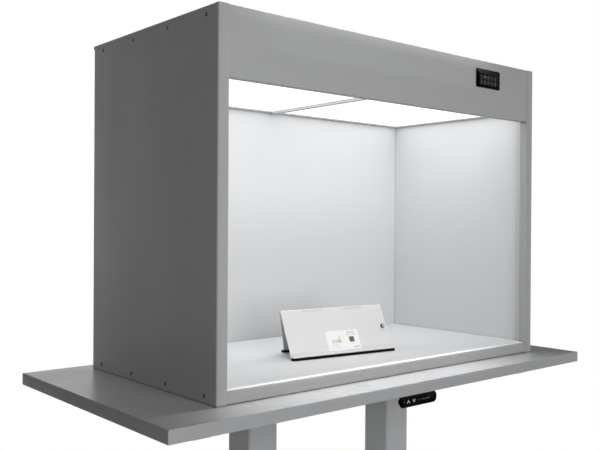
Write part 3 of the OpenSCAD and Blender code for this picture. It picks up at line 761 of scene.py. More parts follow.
@dataclass(frozen=True)
class Plastic(Finish):
    """Moulded plastic, rubber or printed ink."""

    grain: float = 1500.0
    depth: float = 0.00002
    variation: float = 0.08
    glow: float = 0.0
    specular: float = 0.5
    dust: float = 0.08
    dust_colour: Shade = (0.5, 0.49, 0.47, 1.0)

    def wire(self, net: Net, shader: bpy.types.Node) -> None:
        """Add the moulding grain and the smudges.

        Args:
            net: The material's tree.
            shader: Its shader.
        """
        grain = net.use(surface_grain(), Scale=self.grain, Contrast=1.4, Speckle=0.3)
        colour = self._uneven(net, grain, self.variation)
        film = net.use(dust_film(), Amount=self.dust)
        colour = net.mix(film.outputs["Dust"], colour, self.dust_colour)
        rough = net.ramp(film.outputs["Smudge"], 0.0, 1.0, self.roughness * 0.85,
                         self.roughness * 1.2)
        self._cover(net, shader, colour, rough, grain.outputs["Height"], self.depth)
        shader.inputs["Specular IOR Level"].default_value = self.specular
        # A glow is painted light: the ink gives off light though it is no lamp.
        if self.glow:
            self._link(net, shader, Emission_Color=colour)
            shader.inputs["Emission Strength"].default_value = self.glow


@dataclass(frozen=True)
class BareMetal(Finish):
    """Drawn, turned or plated metal without paint."""

    up: float = 0.0
    side: float = 900.0
    depth: float = 0.00002
    stain: float = 0.12

    def wire(self, net: Net, shader: bpy.types.Node) -> None:
        """Add the tool lines and the stains.

        Args:
            net: The material's tree.
            shader: Its shader.
        """
        line = net.use(brushed_lines(), Up=self.up, Side=self.side).outputs["Line"]
        grain = net.use(surface_grain(), Scale=260.0, Contrast=2.0, Speckle=0.6)
        colour = self._uneven(net, grain, self.stain)
        rough = net.ramp(line, 0.3, 0.7, self.roughness * 0.8, self.roughness * 1.25)
        self._cover(net, shader, colour, rough, line, self.depth)
        shader.inputs["Metallic"].default_value = 1.0


@dataclass(frozen=True)
class SpangledZinc(Finish):
    """Galvanised sheet with its crystal pattern."""

    depth: float = 0.00002
    crystals: float = 130.0
    tones: Flat = (0.82, 1.12)  # darkest and lightest crystal
    unevenness: float = 0.08
    metallic: float = 0.85

    def wire(self, net: Net, shader: bpy.types.Node) -> None:
        """Add the crystals.

        Args:
            net: The material's tree.
            shader: Its shader.
        """
        crystal = net.node("ShaderNodeTexVoronoi", {"Vector": net.place(), "Scale": self.crystals})
        tone = net.node("ShaderNodeSeparateColor", {0: crystal.outputs["Color"]}).outputs[0]
        colour = net.mix(tone, *[shade(self.colour, level) for level in self.tones])
        rough = net.ramp(tone, 0.0, 1.0, self.roughness - self.unevenness,
                         self.roughness + self.unevenness)
        self._cover(net, shader, colour, rough, tone, self.depth)
        shader.inputs["Metallic"].default_value = self.metallic


@dataclass(frozen=True)
class OpalSheet(Finish):
    """Lit opal acrylic, a little dimmer between the two rows of boards."""

    seen: float = 1.0
    strength: float = 2.2
    middle: float = 0.0
    low: float = -0.2
    high: float = 0.2
    seam: Point = (0.003, 0.010, 0.80)  # half width, end of its fade, level
    rim: Flat = (0.045, 0.90)  # width, level
    cloud: float = 0.97
    unlit: Flat = (0.28, 0.32)  # darkest and lightest

    def wire(self, net: Net, shader: bpy.types.Node) -> None:
        """Add the glow and its dim line.

        Args:
            net: The material's tree.
            shader: Its shader.
        """
        spot = net.node("ShaderNodeSeparateXYZ", {0: net.place()})
        away = net.math("ABSOLUTE", net.math("SUBTRACT", spot.outputs[1], self.middle))
        line = net.ramp(away, *self.seam, 1.0)
        half = (self.high - self.low) / 2
        rim = net.ramp(away, half - self.rim[0], half, 1.0, self.rim[1])
        cloud = net.ramp(net.noise(net.place(), 5.0, 2.0), 0.3, 0.7, self.cloud, 1.0)
        level = net.math("MULTIPLY", net.math("MULTIPLY", line, rim), cloud)
        lit = net.mix(level, (0.0, 0.0, 0.0, 1.0), shade(self.colour, 1.0))
        grain = net.use(surface_grain(), Scale=700.0, Contrast=1.0, Speckle=0.2)
        colour = net.mix(grain.outputs["Tone"], *[shade(self.colour, tone) for tone in self.unlit])
        rough = net.ramp(grain.outputs["Tone"], 0.0, 1.0, self.roughness - 0.05,
                         self.roughness + 0.05)
        self._link(net, shader, Base_Color=colour, Roughness=rough, Emission_Color=lit)
        eye = net.node("ShaderNodeLightPath").outputs["Is Camera Ray"]
        self._link(net, shader,
                   Emission_Strength=net.ramp(eye, 0.0, 1.0, self.strength, self.seen))


@dataclass(frozen=True)
class BoardWithParts(Finish):
    """Circuit board: a mask colour with a regular grid of lamps or joints."""

    dots: Colour = (0.8, 0.72, 0.35)
    pitch: float = 0.012
    dot: float = 0.0025
    depth: float = 0.0003

    def wire(self, net: Net, shader: bpy.types.Node) -> None:
        """Add the grid.

        Args:
            net: The material's tree.
            shader: Its shader.
        """
        spot = net.node("ShaderNodeSeparateXYZ", {0: net.place()})
        wraps = [net.math("SUBTRACT", net.math("WRAP", spot.outputs[i], self.pitch, 0.0),
                          self.pitch / 2) for i in (0, 1)]
        squares = [net.math("MULTIPLY", w, w) for w in wraps]
        reach = net.math("SQRT", net.math("ADD", *squares))
        mask = net.ramp(reach, self.dot * 0.9, self.dot, 1.0, 0.0)
        grain = net.use(surface_grain(), Scale=500.0, Contrast=1.2, Speckle=0.4)
        plain = self._uneven(net, grain, 0.1)
        colour = net.mix(mask, plain, shade(self.dots, 1.0))
        rough = net.ramp(mask, 0.0, 1.0, self.roughness, self.roughness * 0.6)
        self._cover(net, shader, colour, rough, mask, self.depth)


@dataclass(frozen=True)
class Laminate(Finish):
    """Fine-textured laminate on a board, with soft smudges in its gloss."""

    specular: float = 0.35
    variation: float = 0.06
    depth: float = 0.000003

    def wire(self, net: Net, shader: bpy.types.Node) -> None:
        """Add the press texture and the smudges.

        Args:
            net: The material's tree.
            shader: Its shader.
        """
        where = net.place()
        pebble = net.noise(where, 450.0, 1.0)
        grain = net.use(surface_grain(), Scale=600.0, Contrast=1.3, Speckle=0.03)
        colour = self._uneven(net, grain, self.variation)
        smudge = net.noise(where, 9.0, 0.0)
        rough = net.ramp(smudge, 0.0, 1.0, self.roughness - 0.04, self.roughness + 0.06)
        self._cover(net, shader, colour, rough, pebble, self.depth)
        shader.inputs["Specular IOR Level"].default_value = self.specular


class Palette(Enum):
    """Every finish on the booth and its table."""

    CABINET = SprayedPaint("cabinet_paint", "cabinet_paint", (0.355, 0.358, 0.361), 0.46,
                           crease=1.0)
    BOOTH = SprayedPaint("booth_white", "booth_white", (0.585, 0.592, 0.602), 0.55,
                         variation=0.012, wear_and_highlight=0.0, dust=0.03, crease=0.25)
    # A lighter copy of the booth white for the floor, which paints on the extra light the floor gets;
    # floor and walls have the same paint.
    TRAY = SprayedPaint("booth_white_lit_floor", "booth_white", (0.77, 0.778, 0.79), 0.55,
                        variation=0.012, wear_and_highlight=0.0, dust=0.03, crease=0.25)
    FRAME = SprayedPaint("frame_grey", "frame_grey", (0.45, 0.46, 0.47), 0.45)
    OPAL = OpalSheet("opal_acrylic", "opal_acrylic", (1.0, 1.0, 1.0), 0.35)
    ZINC = SpangledZinc("zinc_sheet", "zinc_sheet", (0.60, 0.61, 0.62), 0.42)
    LAMPS = BoardWithParts("lamp_board", "lamp_board", (0.82, 0.82, 0.80), 0.45)
    CIRCUIT = BoardWithParts("circuit_board", "circuit_board", (0.03, 0.13, 0.06), 0.4,
                             dots=(0.55, 0.55, 0.56), pitch=0.005, dot=0.0011)
    BLACK = Plastic("black_plastic", "black_plastic", (0.002, 0.002, 0.0024), 0.45,
                    depth=0.000005, specular=0.012)
    DARK = Plastic("dark_housing", "black_plastic", (0.008, 0.008, 0.009), 0.5,
                   grain=900.0, depth=0.00006, specular=0.08)
    KEY = Plastic("key_plastic", "key_plastic", (0.003, 0.003, 0.0035), 0.42, specular=0.03)
    # The signs glow a little: painted light that makes the print read brighter.
    SIGN = Plastic("sign_ink", "key_plastic", (0.90, 0.90, 0.91), 0.55, specular=0.1,
                   glow=0.12)
    FAINT = Plastic("faint_ink", "key_plastic", (0.42, 0.42, 0.43), 0.55, specular=0.1)
    SCREW = Plastic("black_zinc", "screw_steel", (0.004, 0.004, 0.0045), 0.4, specular=0.05)
    # The stand's strong edge lightening paints the bright lines along its edges.
    STAND = SprayedPaint("stand_white", "stand_white", (0.77, 0.77, 0.766), 0.42,
                         variation=0.02, wear_and_highlight=0.9, wear_and_highlight_radius=0.0022, dust=0.03, crease=0.1)
    PIN = BareMetal("pin_steel", "pin_steel", (0.40, 0.40, 0.41), 0.28)
    # Bright steel for the screw recesses and the knob's face: a painted highlight.
    RIVET = BareMetal("painted_highlight_steel", "pin_steel", (0.72, 0.72, 0.73), 0.35)
    RUBBER = Plastic("strip_rubber", "strip_rubber", (0.005, 0.005, 0.005), 0.75,
                     grain=700.0, depth=0.00008, specular=0.1)
    CARD = Plastic("card_white", "card_white", (0.95, 0.95, 0.94), 0.7, depth=0.00001,
                   variation=0.015, specular=0.2)
    MOSS = Plastic("moss_ink", "card_white", (0.17, 0.18, 0.085), 0.6, variation=0.10)
    OLIVE = Plastic("olive_ink", "card_white", (0.30, 0.29, 0.16), 0.6, variation=0.08)
    LIME = Plastic("lime_ink", "card_white", (0.50, 0.56, 0.26), 0.6, variation=0.06)
    PALE = Plastic("pale_ink", "card_white", (0.66, 0.70, 0.58), 0.6, variation=0.06)
    RULE = Plastic("rule_ink", "card_white", (0.62, 0.61, 0.62), 0.6, variation=0.04)
    LAMINATE = Laminate("board_laminate", "board_laminate", (0.42, 0.423, 0.428), 0.28)
    BAND = Plastic("edge_plastic", "edge_plastic", (0.33, 0.338, 0.347), 0.50, specular=0.03)
    COLUMN = SprayedPaint("column_paint", "column_paint", (0.38, 0.386, 0.393), 0.42)
    DRIVE = SprayedPaint("drive_metal", "drive_metal", (0.055, 0.057, 0.060), 0.5, wear_and_highlight=0.3)
    SPINDLE = BareMetal("spindle_steel", "spindle_steel", (0.58, 0.58, 0.59), 0.25,
                        up=2500.0, side=0.0)
    NUT = Plastic("nut_plastic", "nut_plastic", (0.74, 0.71, 0.61), 0.5)
    BRASS = BareMetal("contact_metal", "pin_steel", (0.66, 0.62, 0.50), 0.3)


# ---- Pieces -------------------------------------------------------------------------------


def flat_shaded(mesh: bpy.types.Mesh, angle: float = 32.0) -> None:
    """Smooth the shading over shallow edges and keep the others sharp."""
    mesh.shade_smooth()
    mesh.set_sharp_from_angle(angle=math.radians(angle))


def make_piece(name: str, shape: Shape, body: str, finishes: Sequence[Palette],
               place: Matrix, replaces: Iterable[str] = (), soften: float = 0.0,
               steps: int = 2) -> bpy.types.Object:
    """Turn a shape into a finished piece of the part.

    Args:
        name: The piece's name.
        shape: Its shape, in millimetres.
        body: The body it moves with.
        finishes: One finish for each of the shape's material numbers.
        place: Where the shape's origin goes, with the change to metres.
        replaces: The CAD nodes that it stands for.
        soften: Width in millimetres of a bevel on its sharp edges, or 0.
        steps: Number of faces across that bevel.

    Returns:
        The new object.
    """
    shape.placed(place)
    mesh = bpy.data.meshes.new(name)
    shape.bm.to_mesh(mesh)
    shape.bm.free()
    flat_shaded(mesh)
    for finish in finishes:
        mesh.materials.append(finish.value.material())
    piece = bpy.data.objects.new(name, mesh)
    bpy.context.scene.collection.objects.link(piece)
    if soften:
        soften_edges(piece, soften, steps)
    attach(piece, body)
    if replaces:
        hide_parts(*replaces)
    LOG.info("%s: %d faces on %s", name, len(mesh.polygons), body)
    return piece


def soften_edges(piece: bpy.types.Object, width: float, steps: int) -> None:
    """Bevel a piece's sharp edges with a modifier.

    Args:
        piece: The piece.
        width: Width of the bevel in millimetres.
        steps: Number of faces across it.
    """
    bevel = piece.modifiers.new("soft edges", "BEVEL")
    bevel.width = width * METRE
    bevel.segments = steps
    bevel.limit_method = "ANGLE"
    bevel.angle_limit = math.radians(50)
    bevel.use_clamp_overlap = True


def dress(node: str, finish: Palette, soften: float = 0.0, steps: int = 2) -> None:
    """Give a CAD node its finish and, where it helps, softer edges.

    Args:
        node: The node's name.
        finish: Its finish.
        soften: Width in millimetres of a bevel on its sharp edges, or 0.
        steps: Number of faces across that bevel.
    """
    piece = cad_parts[node]
    if not piece.material_slots:
        piece.data.materials.append(finish.value.material())
    for slot in piece.material_slots:
        slot.material = finish.value.material()
    if soften:
        weld = piece.modifiers.new("joined corners", "WELD")
        weld.merge_threshold = 1e-6
        soften_edges(piece, soften, steps)
    LOG.info("%s: CAD node in %s", node, finish.value.name)


def scaled_at(corner: Vector, turn: float = 0.0) -> Matrix:
    """Placement of a millimetre shape at a point of the frame, turned about Z by degrees."""
    return (Matrix.Translation(corner) @ Matrix.Rotation(math.radians(turn), 4, "Z")
            @ Matrix.Scale(METRE, 4))


def mirrored(axis: str, extent: float) -> Matrix:
    """Mirror image along an axis, in the plane half way between 0 and an extent."""
    along = Vector([float(axis == name) for name in "XYZ"])
    return Matrix.Translation(along * extent) @ Matrix.Scale(-1, 4, along)


def laid_along_x() -> Matrix:
    """Lays a sheet that stands along Z down along X, with its path in Y and Z."""
    return Matrix(((0, 0, 1, 0), (1, 0, 0, 0), (0, 1, 0, 0), (0, 0, 0, 1)))


def flipped(outline: Sequence[Flat]) -> list[Flat]:
    """Outline turned upside down, with its corners still in the same sense."""
    return [(x, -y) for x, y in reversed(outline)]


def written(text: str, size: float, depth: float) -> Shape:
    """Generic sign or figure as a thin solid, upright and looking along -Y.

    Args:
        text: The figure.
        size: Height of its type.
        depth: Thickness of the ink.

    Returns:
        The new shape, with its middle at the origin.
    """
    curve = bpy.data.curves.new("figure", "FONT")
    curve.body = text
    curve.size = size
    curve.align_x = "CENTER"
    curve.align_y = "CENTER"
    curve.extrude = depth / 2
    carrier = bpy.data.objects.new("figure", curve)
    mesh = bpy.data.meshes.new_from_object(carrier)
    shape = Shape()
    shape.bm.from_mesh(mesh)
    bpy.data.objects.remove(carrier)
    bpy.data.curves.remove(curve)
    bpy.data.meshes.remove(mesh)
    return shape.outward().turned("X", 90)


def ink_ring(radius: float, line: float, depth: float, steps: int = 32) -> Shape:
    """Printed ring that looks along -Y.

    Args:
        radius: Radius of its middle line.
        line: Width of the line.
        depth: Thickness of the ink.
        steps: Number of faces round it.

    Returns:
        The new shape.
    """
    half = line / 2
    return lathe([(radius - half, 0), (radius + half, 0), (radius + half, depth),
                  (radius - half, depth)], steps, ring=True).turned("X", 90)


def ink_mark(outline: Sequence[Flat], depth: float) -> Shape:
    """Printed flat mark that looks along -Y."""
    return prism(outline, depth).turned("X", 90)


def chevron(width: float, height: float, line: float) -> list[Flat]:
    """Outline of an open arrow head that points up, about the origin."""
    w, h = width / 2, height / 2
    return [(-w, -h), (-w + line, -h), (0, h - line * 1.1), (w - line, -h), (w, -h), (0, h)]


def pan_head_screw(head: float, height: float, shank: float, length: float) -> Shape:
    """Pan-head screw with a cross recess, its head towards +Z and its underside at the origin.

    The recess has the second finish, a bright steel that paints a highlight on the dark head.

    Args:
        head: Radius of the head.
        height: Height of the head.
        shank: Radius of the shank.
        length: Length of the shank.

    Returns:
        The new shape.
    """
    rim = head * 0.52
    screw = joined(lathe([(rim, height), (head * 0.76, height * 0.93),
                          (head * 0.93, height * 0.68), (head, height * 0.30), (head, 0.0),
                          (shank, 0.0), (shank, -length), (0.0, -length)], 24))
    top = [e for e in screw.bm.edges if len(e.link_faces) == 1]
    far, near = rim * 0.84, rim * 0.27
    spots = [(near, near), (near, far), (-near, far), (-near, near), (-far, near),
             (-far, -near), (-near, -near), (-near, -far), (near, -far), (near, -near),
             (far, -near), (far, near)]
    cross = screw.chain([(x, y, height) for x, y in spots], True)[1]
    screw.fill(top + cross)
    plain = set(screw.bm.faces)
    low, ring = screw.drawn(cross, (0, 0, -height * 0.55))
    bmesh.ops.scale(screw.bm, vec=(0.7, 0.7, 1), verts=low)
    screw.capped(ring)
    for face in screw.bm.faces:
        face.material_index = 0 if face in plain else 1
    return screw.outward()


# ---- Cabinet ------------------------------------------------------------------------------


@dataclass
class Cabinet:
    """The steel cabinet: sides, roof, fascia, bottom rail, back and their screws."""

    width: float = 1000.0
    depth: float = 500.0
    height: float = 740.0
    skin: float = 1.5
    flange: float = 22.0
    back_fold: float = 20.0
    lip: float = 15.0
    fascia: float = 134.0
    rail: float = 26.0
    roof_lip: float = 8.0
    setback: float = 10.0
    gap: float = 0.3
    seam: float = 0.8
    fold_gap: float = 0.5
    side_fold: float = 1.8
    lid_fold: float = 1.6
    bar_fold: float = 1.4
    cap_inset: float = 0.35
    cap_round: float = 0.3
    play: float = 0.1
    head: float = 4.0
    head_height: float = 2.4
    shank: float = 2.0
    shank_length: float = 8.0
    side_screw_y: tuple[float, ...] = (40.0, 179.0, 318.0, 457.0)
    side_screw_z: tuple[float, ...] = (15.0, 724.0)
    back_screw: float = 60.0
    back_rows: int = 4
    side_twist: float = 37.0  # degrees between the crosses of two screws
    back_twist: float = 0.7  # radians
    frame_twist: float = 0.5  # radians
    corner: Vector = field(default_factory=lambda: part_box("left_side_panel")[0])

    def place(self) -> Matrix:
        """Placement of a shape drawn from the cabinet's left front bottom corner."""
        return scaled_at(self.corner)

    def side_panel(self) -> Shape:
        """Left side: front flange with its return, the side itself and the back lip.

        Returns:
            The new shape.
        """
        roof = self.height - self.skin
        back = self.depth - self.skin
        front = self.setback - self.fold_gap
        path = [(self.flange, self.back_fold), (self.flange, 0), (0, 0), (0, back),
                (self.skin + self.lip, back)]
        panel = sheet(list(reversed(path)), self.height, self.side_fold)
        panel.cut((0, 0, roof), (0, 0, 1)).cut((0, front, 0), (0, 1, 0))
        panel.drop(lambda c: c.z > roof and c.y > front)
        panel.thickened(self.skin)
        cap = block((self.cap_inset, self.cap_inset, roof),
                    (self.flange - self.play, front, self.height - self.play), self.cap_round)
        foot = block((self.skin, self.skin, 0), (self.skin + self.lip, back - self.skin, self.skin))
        return joined(panel, cap, foot)

    def roof_lid(self) -> Shape:
        """Roof with a turned-down lip at its sides and back.

        Returns:
            The new shape.
        """
        out = self.skin + self.gap
        low = self.height - self.roof_lip
        lid = block((-out, self.setback, low), (self.width + out, self.depth + out, self.height))
        lid.drop(lambda c: abs(c.z - low) < WELD or abs(c.y - self.setback) < WELD)
        lid.rounded(self.lid_fold, FOLD_STEPS, lambda edge: len(edge.link_faces) == 2)
        return lid.thickened(self.skin)

    def front_bar(self, path: Sequence[Flat]) -> Shape:
        """Bent front strip along X between the two flanges, from a path in Y and Z.

        Args:
            path: Y and Z of its corners.

        Returns:
            The new shape, without its wall.
        """
        start = self.flange + self.seam
        strip = sheet(path, self.width - 2 * start, self.bar_fold)
        return strip.placed(laid_along_x()).moved(start)

    def end_webs(self, low: float, high: float) -> Shape:
        """Folds at both ends of a front strip, behind the flanges' edges.

        Args:
            low: Height of their lower ends.
            high: Height of their upper ends.

        Returns:
            The new shape.
        """
        web = block((self.flange, self.skin + self.play, low),
                    (self.flange + self.skin, self.back_fold, high))
        return joined(web, Shape().add(web, mirrored("X", self.width)))

    def front_fascia(self, hole: tuple[Flat, Flat]) -> Shape:
        """Fascia over the opening, with the cut-out for the keypad.

        Args:
            hole: The cut-out's lowest and highest X and Z.

        Returns:
            The new shape.
        """
        low, top = self.height - self.fascia, self.height
        path = [(self.back_fold, low), (0, low), (0, top), (self.setback - self.fold_gap, top)]
        bar = self.front_bar(path)
        (x0, z0), (x1, z1) = hole
        bar.cut((x0, 0, 0), (1, 0, 0)).cut((x1, 0, 0), (1, 0, 0))
        bar.cut((0, 0, z0), (0, 0, 1)).cut((0, 0, z1), (0, 0, 1))
        bar.drop(lambda c: x0 < c.x < x1 and z0 < c.z < z1)
        bar.thickened(self.skin)
        return joined(bar, self.end_webs(low, top - self.skin))

    def bottom_rail(self) -> Shape:
        """Rail under the opening.

        Returns:
            The new shape.
        """
        path = [(self.back_fold, 0), (0, 0), (0, self.rail), (self.back_fold, self.rail)]
        bar = self.front_bar(path)
        bar.thickened(self.skin)
        return joined(bar, self.end_webs(self.skin, self.rail - self.skin))

    def screws(self, frame_spots: Sequence[Point]) -> Shape:
        """All pan-head screws of the sides, the back and the table frame.

        Args:
            frame_spots: Place of each screw under the table frame, from the cabinet's corner.

        Returns:
            The new shape.
        """
        one = pan_head_screw(self.head, self.head_height, self.shank, self.shank_length)
        whole = Shape()
        left = Matrix.Rotation(-QUARTER, 4, "Y")
        right = Matrix.Rotation(QUARTER, 4, "Y")
        for number, (y, z) in enumerate((y, z) for y in self.side_screw_y
                                        for z in self.side_screw_z):
            twist = Matrix.Rotation(math.radians(self.side_twist * number % 90), 4, "Z")
            whole.add(one, Matrix.Translation((0, y, z)) @ left @ twist)
            whole.add(one, Matrix.Translation((self.width, y, z)) @ right @ twist)
        step = (self.height - 2 * self.back_screw) / (self.back_rows - 1)
        aside = self.skin + self.lip / 2
        to_back = Matrix.Rotation(-QUARTER, 4, "X")
        for number in range(self.back_rows):
            twist = Matrix.Rotation(number * self.back_twist, 4, "Z")
            for x in (aside, self.width - aside):
                spot = Matrix.Translation((x, self.depth, self.back_screw + number * step))
                whole.add(one, spot @ to_back @ twist)
        for number, spot in enumerate(frame_spots):
            whole.add(one, Matrix.Translation(spot) @ Matrix.Rotation(math.pi, 4, "X")
                      @ Matrix.Rotation(number * self.frame_twist, 4, "Z"))
        return whole

    def build(self, hole: tuple[Flat, Flat], frame_spots: Sequence[Point]) -> None:
        """Make the cabinet's pieces and dress its CAD nodes.

        Args:
            hole: The fascia's cut-out for the keypad.
            frame_spots: Places of the table frame's screws, from the cabinet's corner.
        """
        left = self.side_panel()
        right = Shape().add(left, mirrored("X", self.width))
        for name, shape, node in (("left_side", left, "left_side_panel"),
                                  ("right_side", right, "right_side_panel"),
                                  ("roof_lid", self.roof_lid(), "roof_panel"),
                                  ("fascia", self.front_fascia(hole), "front_fascia"),
                                  ("rail", self.bottom_rail(), "bottom_rail")):
            make_piece(name, shape, "table", [Palette.CABINET], self.place(), [node])
        make_piece("screws", self.screws(frame_spots), "table", [Palette.SCREW, Palette.RIVET],
                   self.place(), ["pan_head_screws"])
        dress("back_panel", Palette.CABINET)


@dataclass
class Booth:
    """The white booth: its floor and three inner walls."""

    def build(self) -> None:
        """Dress the lining."""
        # The floor takes the lighter copy of the booth white: painted light.
        dress("floor_panel", Palette.TRAY, 1.2, 3)
        for node in ("inner_left_wall", "inner_right_wall", "inner_back_wall"):
            dress(node, Palette.BOOTH, 0.3)


@dataclass
class LightUnit:
    """The lamps over the booth: diffusers, their frame, boards, tray and driver."""

    def build(self) -> None:
        """Dress the light unit's nodes."""
        dress("ceiling_frame", Palette.FRAME, 0.4)
        for node in ("left_diffuser", "right_diffuser"):
            dress(node, Palette.OPAL)
        dress("lamp_tray", Palette.ZINC, 0.3)
        dress("led_boards", Palette.LAMPS, 0.2)
        dress("led_driver", Palette.FRAME, 1.5)


@dataclass
class MainsInlet:
    """The mains socket in the back panel."""

    width: float = 31.0
    height: float = 24.0
    depth: float = 24.0
    rim: float = 2.0
    wall: float = 2.0
    recess: float = 16.0
    corner: float = 2.0
    border: float = 0.8
    chamfer: float = 3.5
    edge: float = 0.5
    pin: Point = (4.0, 9.0, 2.0)  # width, length, thickness
    pin_root: float = 0.5
    pin_round: float = 0.3
    pins: tuple[Flat, ...] = ((-7.0, -2.0), (7.0, -2.0), (0.0, 2.0))

    def build(self) -> None:
        """Make the inlet, which looks along +Y."""
        low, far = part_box("mains_inlet")
        inlet = Housing(self.width, self.height, self.corner, self.border)
        inner = self.rim + self.wall
        mouth = inlet.opening((inner, inner), (self.width - inner, self.height - inner),
                              self.chamfer)
        inlet.fill(inlet.front)
        inlet.capped(inlet.swept(mouth, self.recess))
        back = inlet.swept(inlet.outline, self.wall)
        back = inlet.swept(back, 0.0, -self.rim)
        inlet.capped(inlet.swept(back, self.depth - self.wall))
        edge = set(inlet.outline)
        inlet.rounded(self.edge, 3, lambda e: e in edge)
        inlet.outward()
        wide, long, high = self.pin
        pin = block((-wide / 2, -long, -high / 2), (wide / 2, self.pin_root, high / 2),
                    self.pin_round).painted(1)
        for x, z in self.pins:
            spot = (self.width / 2 - x, self.recess, self.height / 2 + z)
            inlet.add(pin, Matrix.Translation(spot))
        make_piece("inlet", inlet, "table", [Palette.DARK, Palette.BRASS],
                   scaled_at(Vector((far.x, far.y, low.z)), 180), ["mains_inlet"])


# ---- Keys ---------------------------------------------------------------------------------


@dataclass(frozen=True)
class KeyMaker:
    """Round press keys that look along -Y, and the bores that guide them."""

    proud: float = 0.8
    gap: float = 0.1
    collar: float = 0.8
    collar_height: float = 1.0
    collar_depth: float = 4.5
    overlap: float = 0.05
    ink: float = 0.1

    def key(self, radius: float, stem: float, dish: float) -> Shape:
        """Key with a dished cap.

        Args:
            radius: Radius of its cap.
            stem: How far it reaches back from the face round it.
            dish: Depth of the hollow in its cap.

        Returns:
            The new shape, with the face round it at y = 0.
        """
        wide, low = radius + self.collar, -self.collar_depth
        profile = [(0, self.proud - dish), (radius * 0.4, self.proud - dish * 0.84),
                   (radius * 0.7, self.proud - dish * 0.45), (radius - 0.5, self.proud),
                   (radius - 0.15, self.proud - 0.1), (radius, self.proud - 0.4),
                   (radius, low), (wide, low), (wide, low - self.collar_height)]
        if stem > self.collar_depth + self.collar_height:
            profile += [(radius, low - self.collar_height), (radius, -stem)]
        profile.append((0, -stem))
        return lathe(profile, 32).turned("X", 90)

    def make(self, name: str, body: str, size: Point, sign: Shape, ink: Palette,
             spot: Vector) -> None:
        """Make one key with a printed sign on its cap.

        Args:
            name: The piece's name.
            body: Its body, which is also the CAD node that it replaces.
            size: Radius of its cap, reach of its stem and depth of the cap's hollow.
            sign: The sign.
            ink: The sign's finish.
            spot: Middle of the key on the face round it.
        """
        sign.painted(1).moved(0, size[2] * 0.9 - self.proud, 0)
        make_piece(name, self.key(*size).add(sign), body, [Palette.KEY, ink], scaled_at(spot),
                   [body])

    def bore(self, house: Housing, x: float, z: float, radius: float, depth: float,
             steps: int = 32) -> list:
        """Cut a guiding bore with room for the collar behind it.

        Args:
            house: The housing, before its front is filled.
            x: Place of the bore's middle along X.
            z: Place of the bore's middle along Z.
            radius: Radius of the key.
            depth: Depth of the whole bore.
            steps: Number of faces round it.

        Returns:
            The edges at the bore's end.
        """
        ring = house.hole(x, z, radius + self.gap, steps)
        ring = house.swept(ring, self.collar_depth - self.overlap)
        ring = house.swept(ring, 0.0, self.collar + self.gap)
        return house.swept(ring, depth - self.collar_depth + self.overlap)


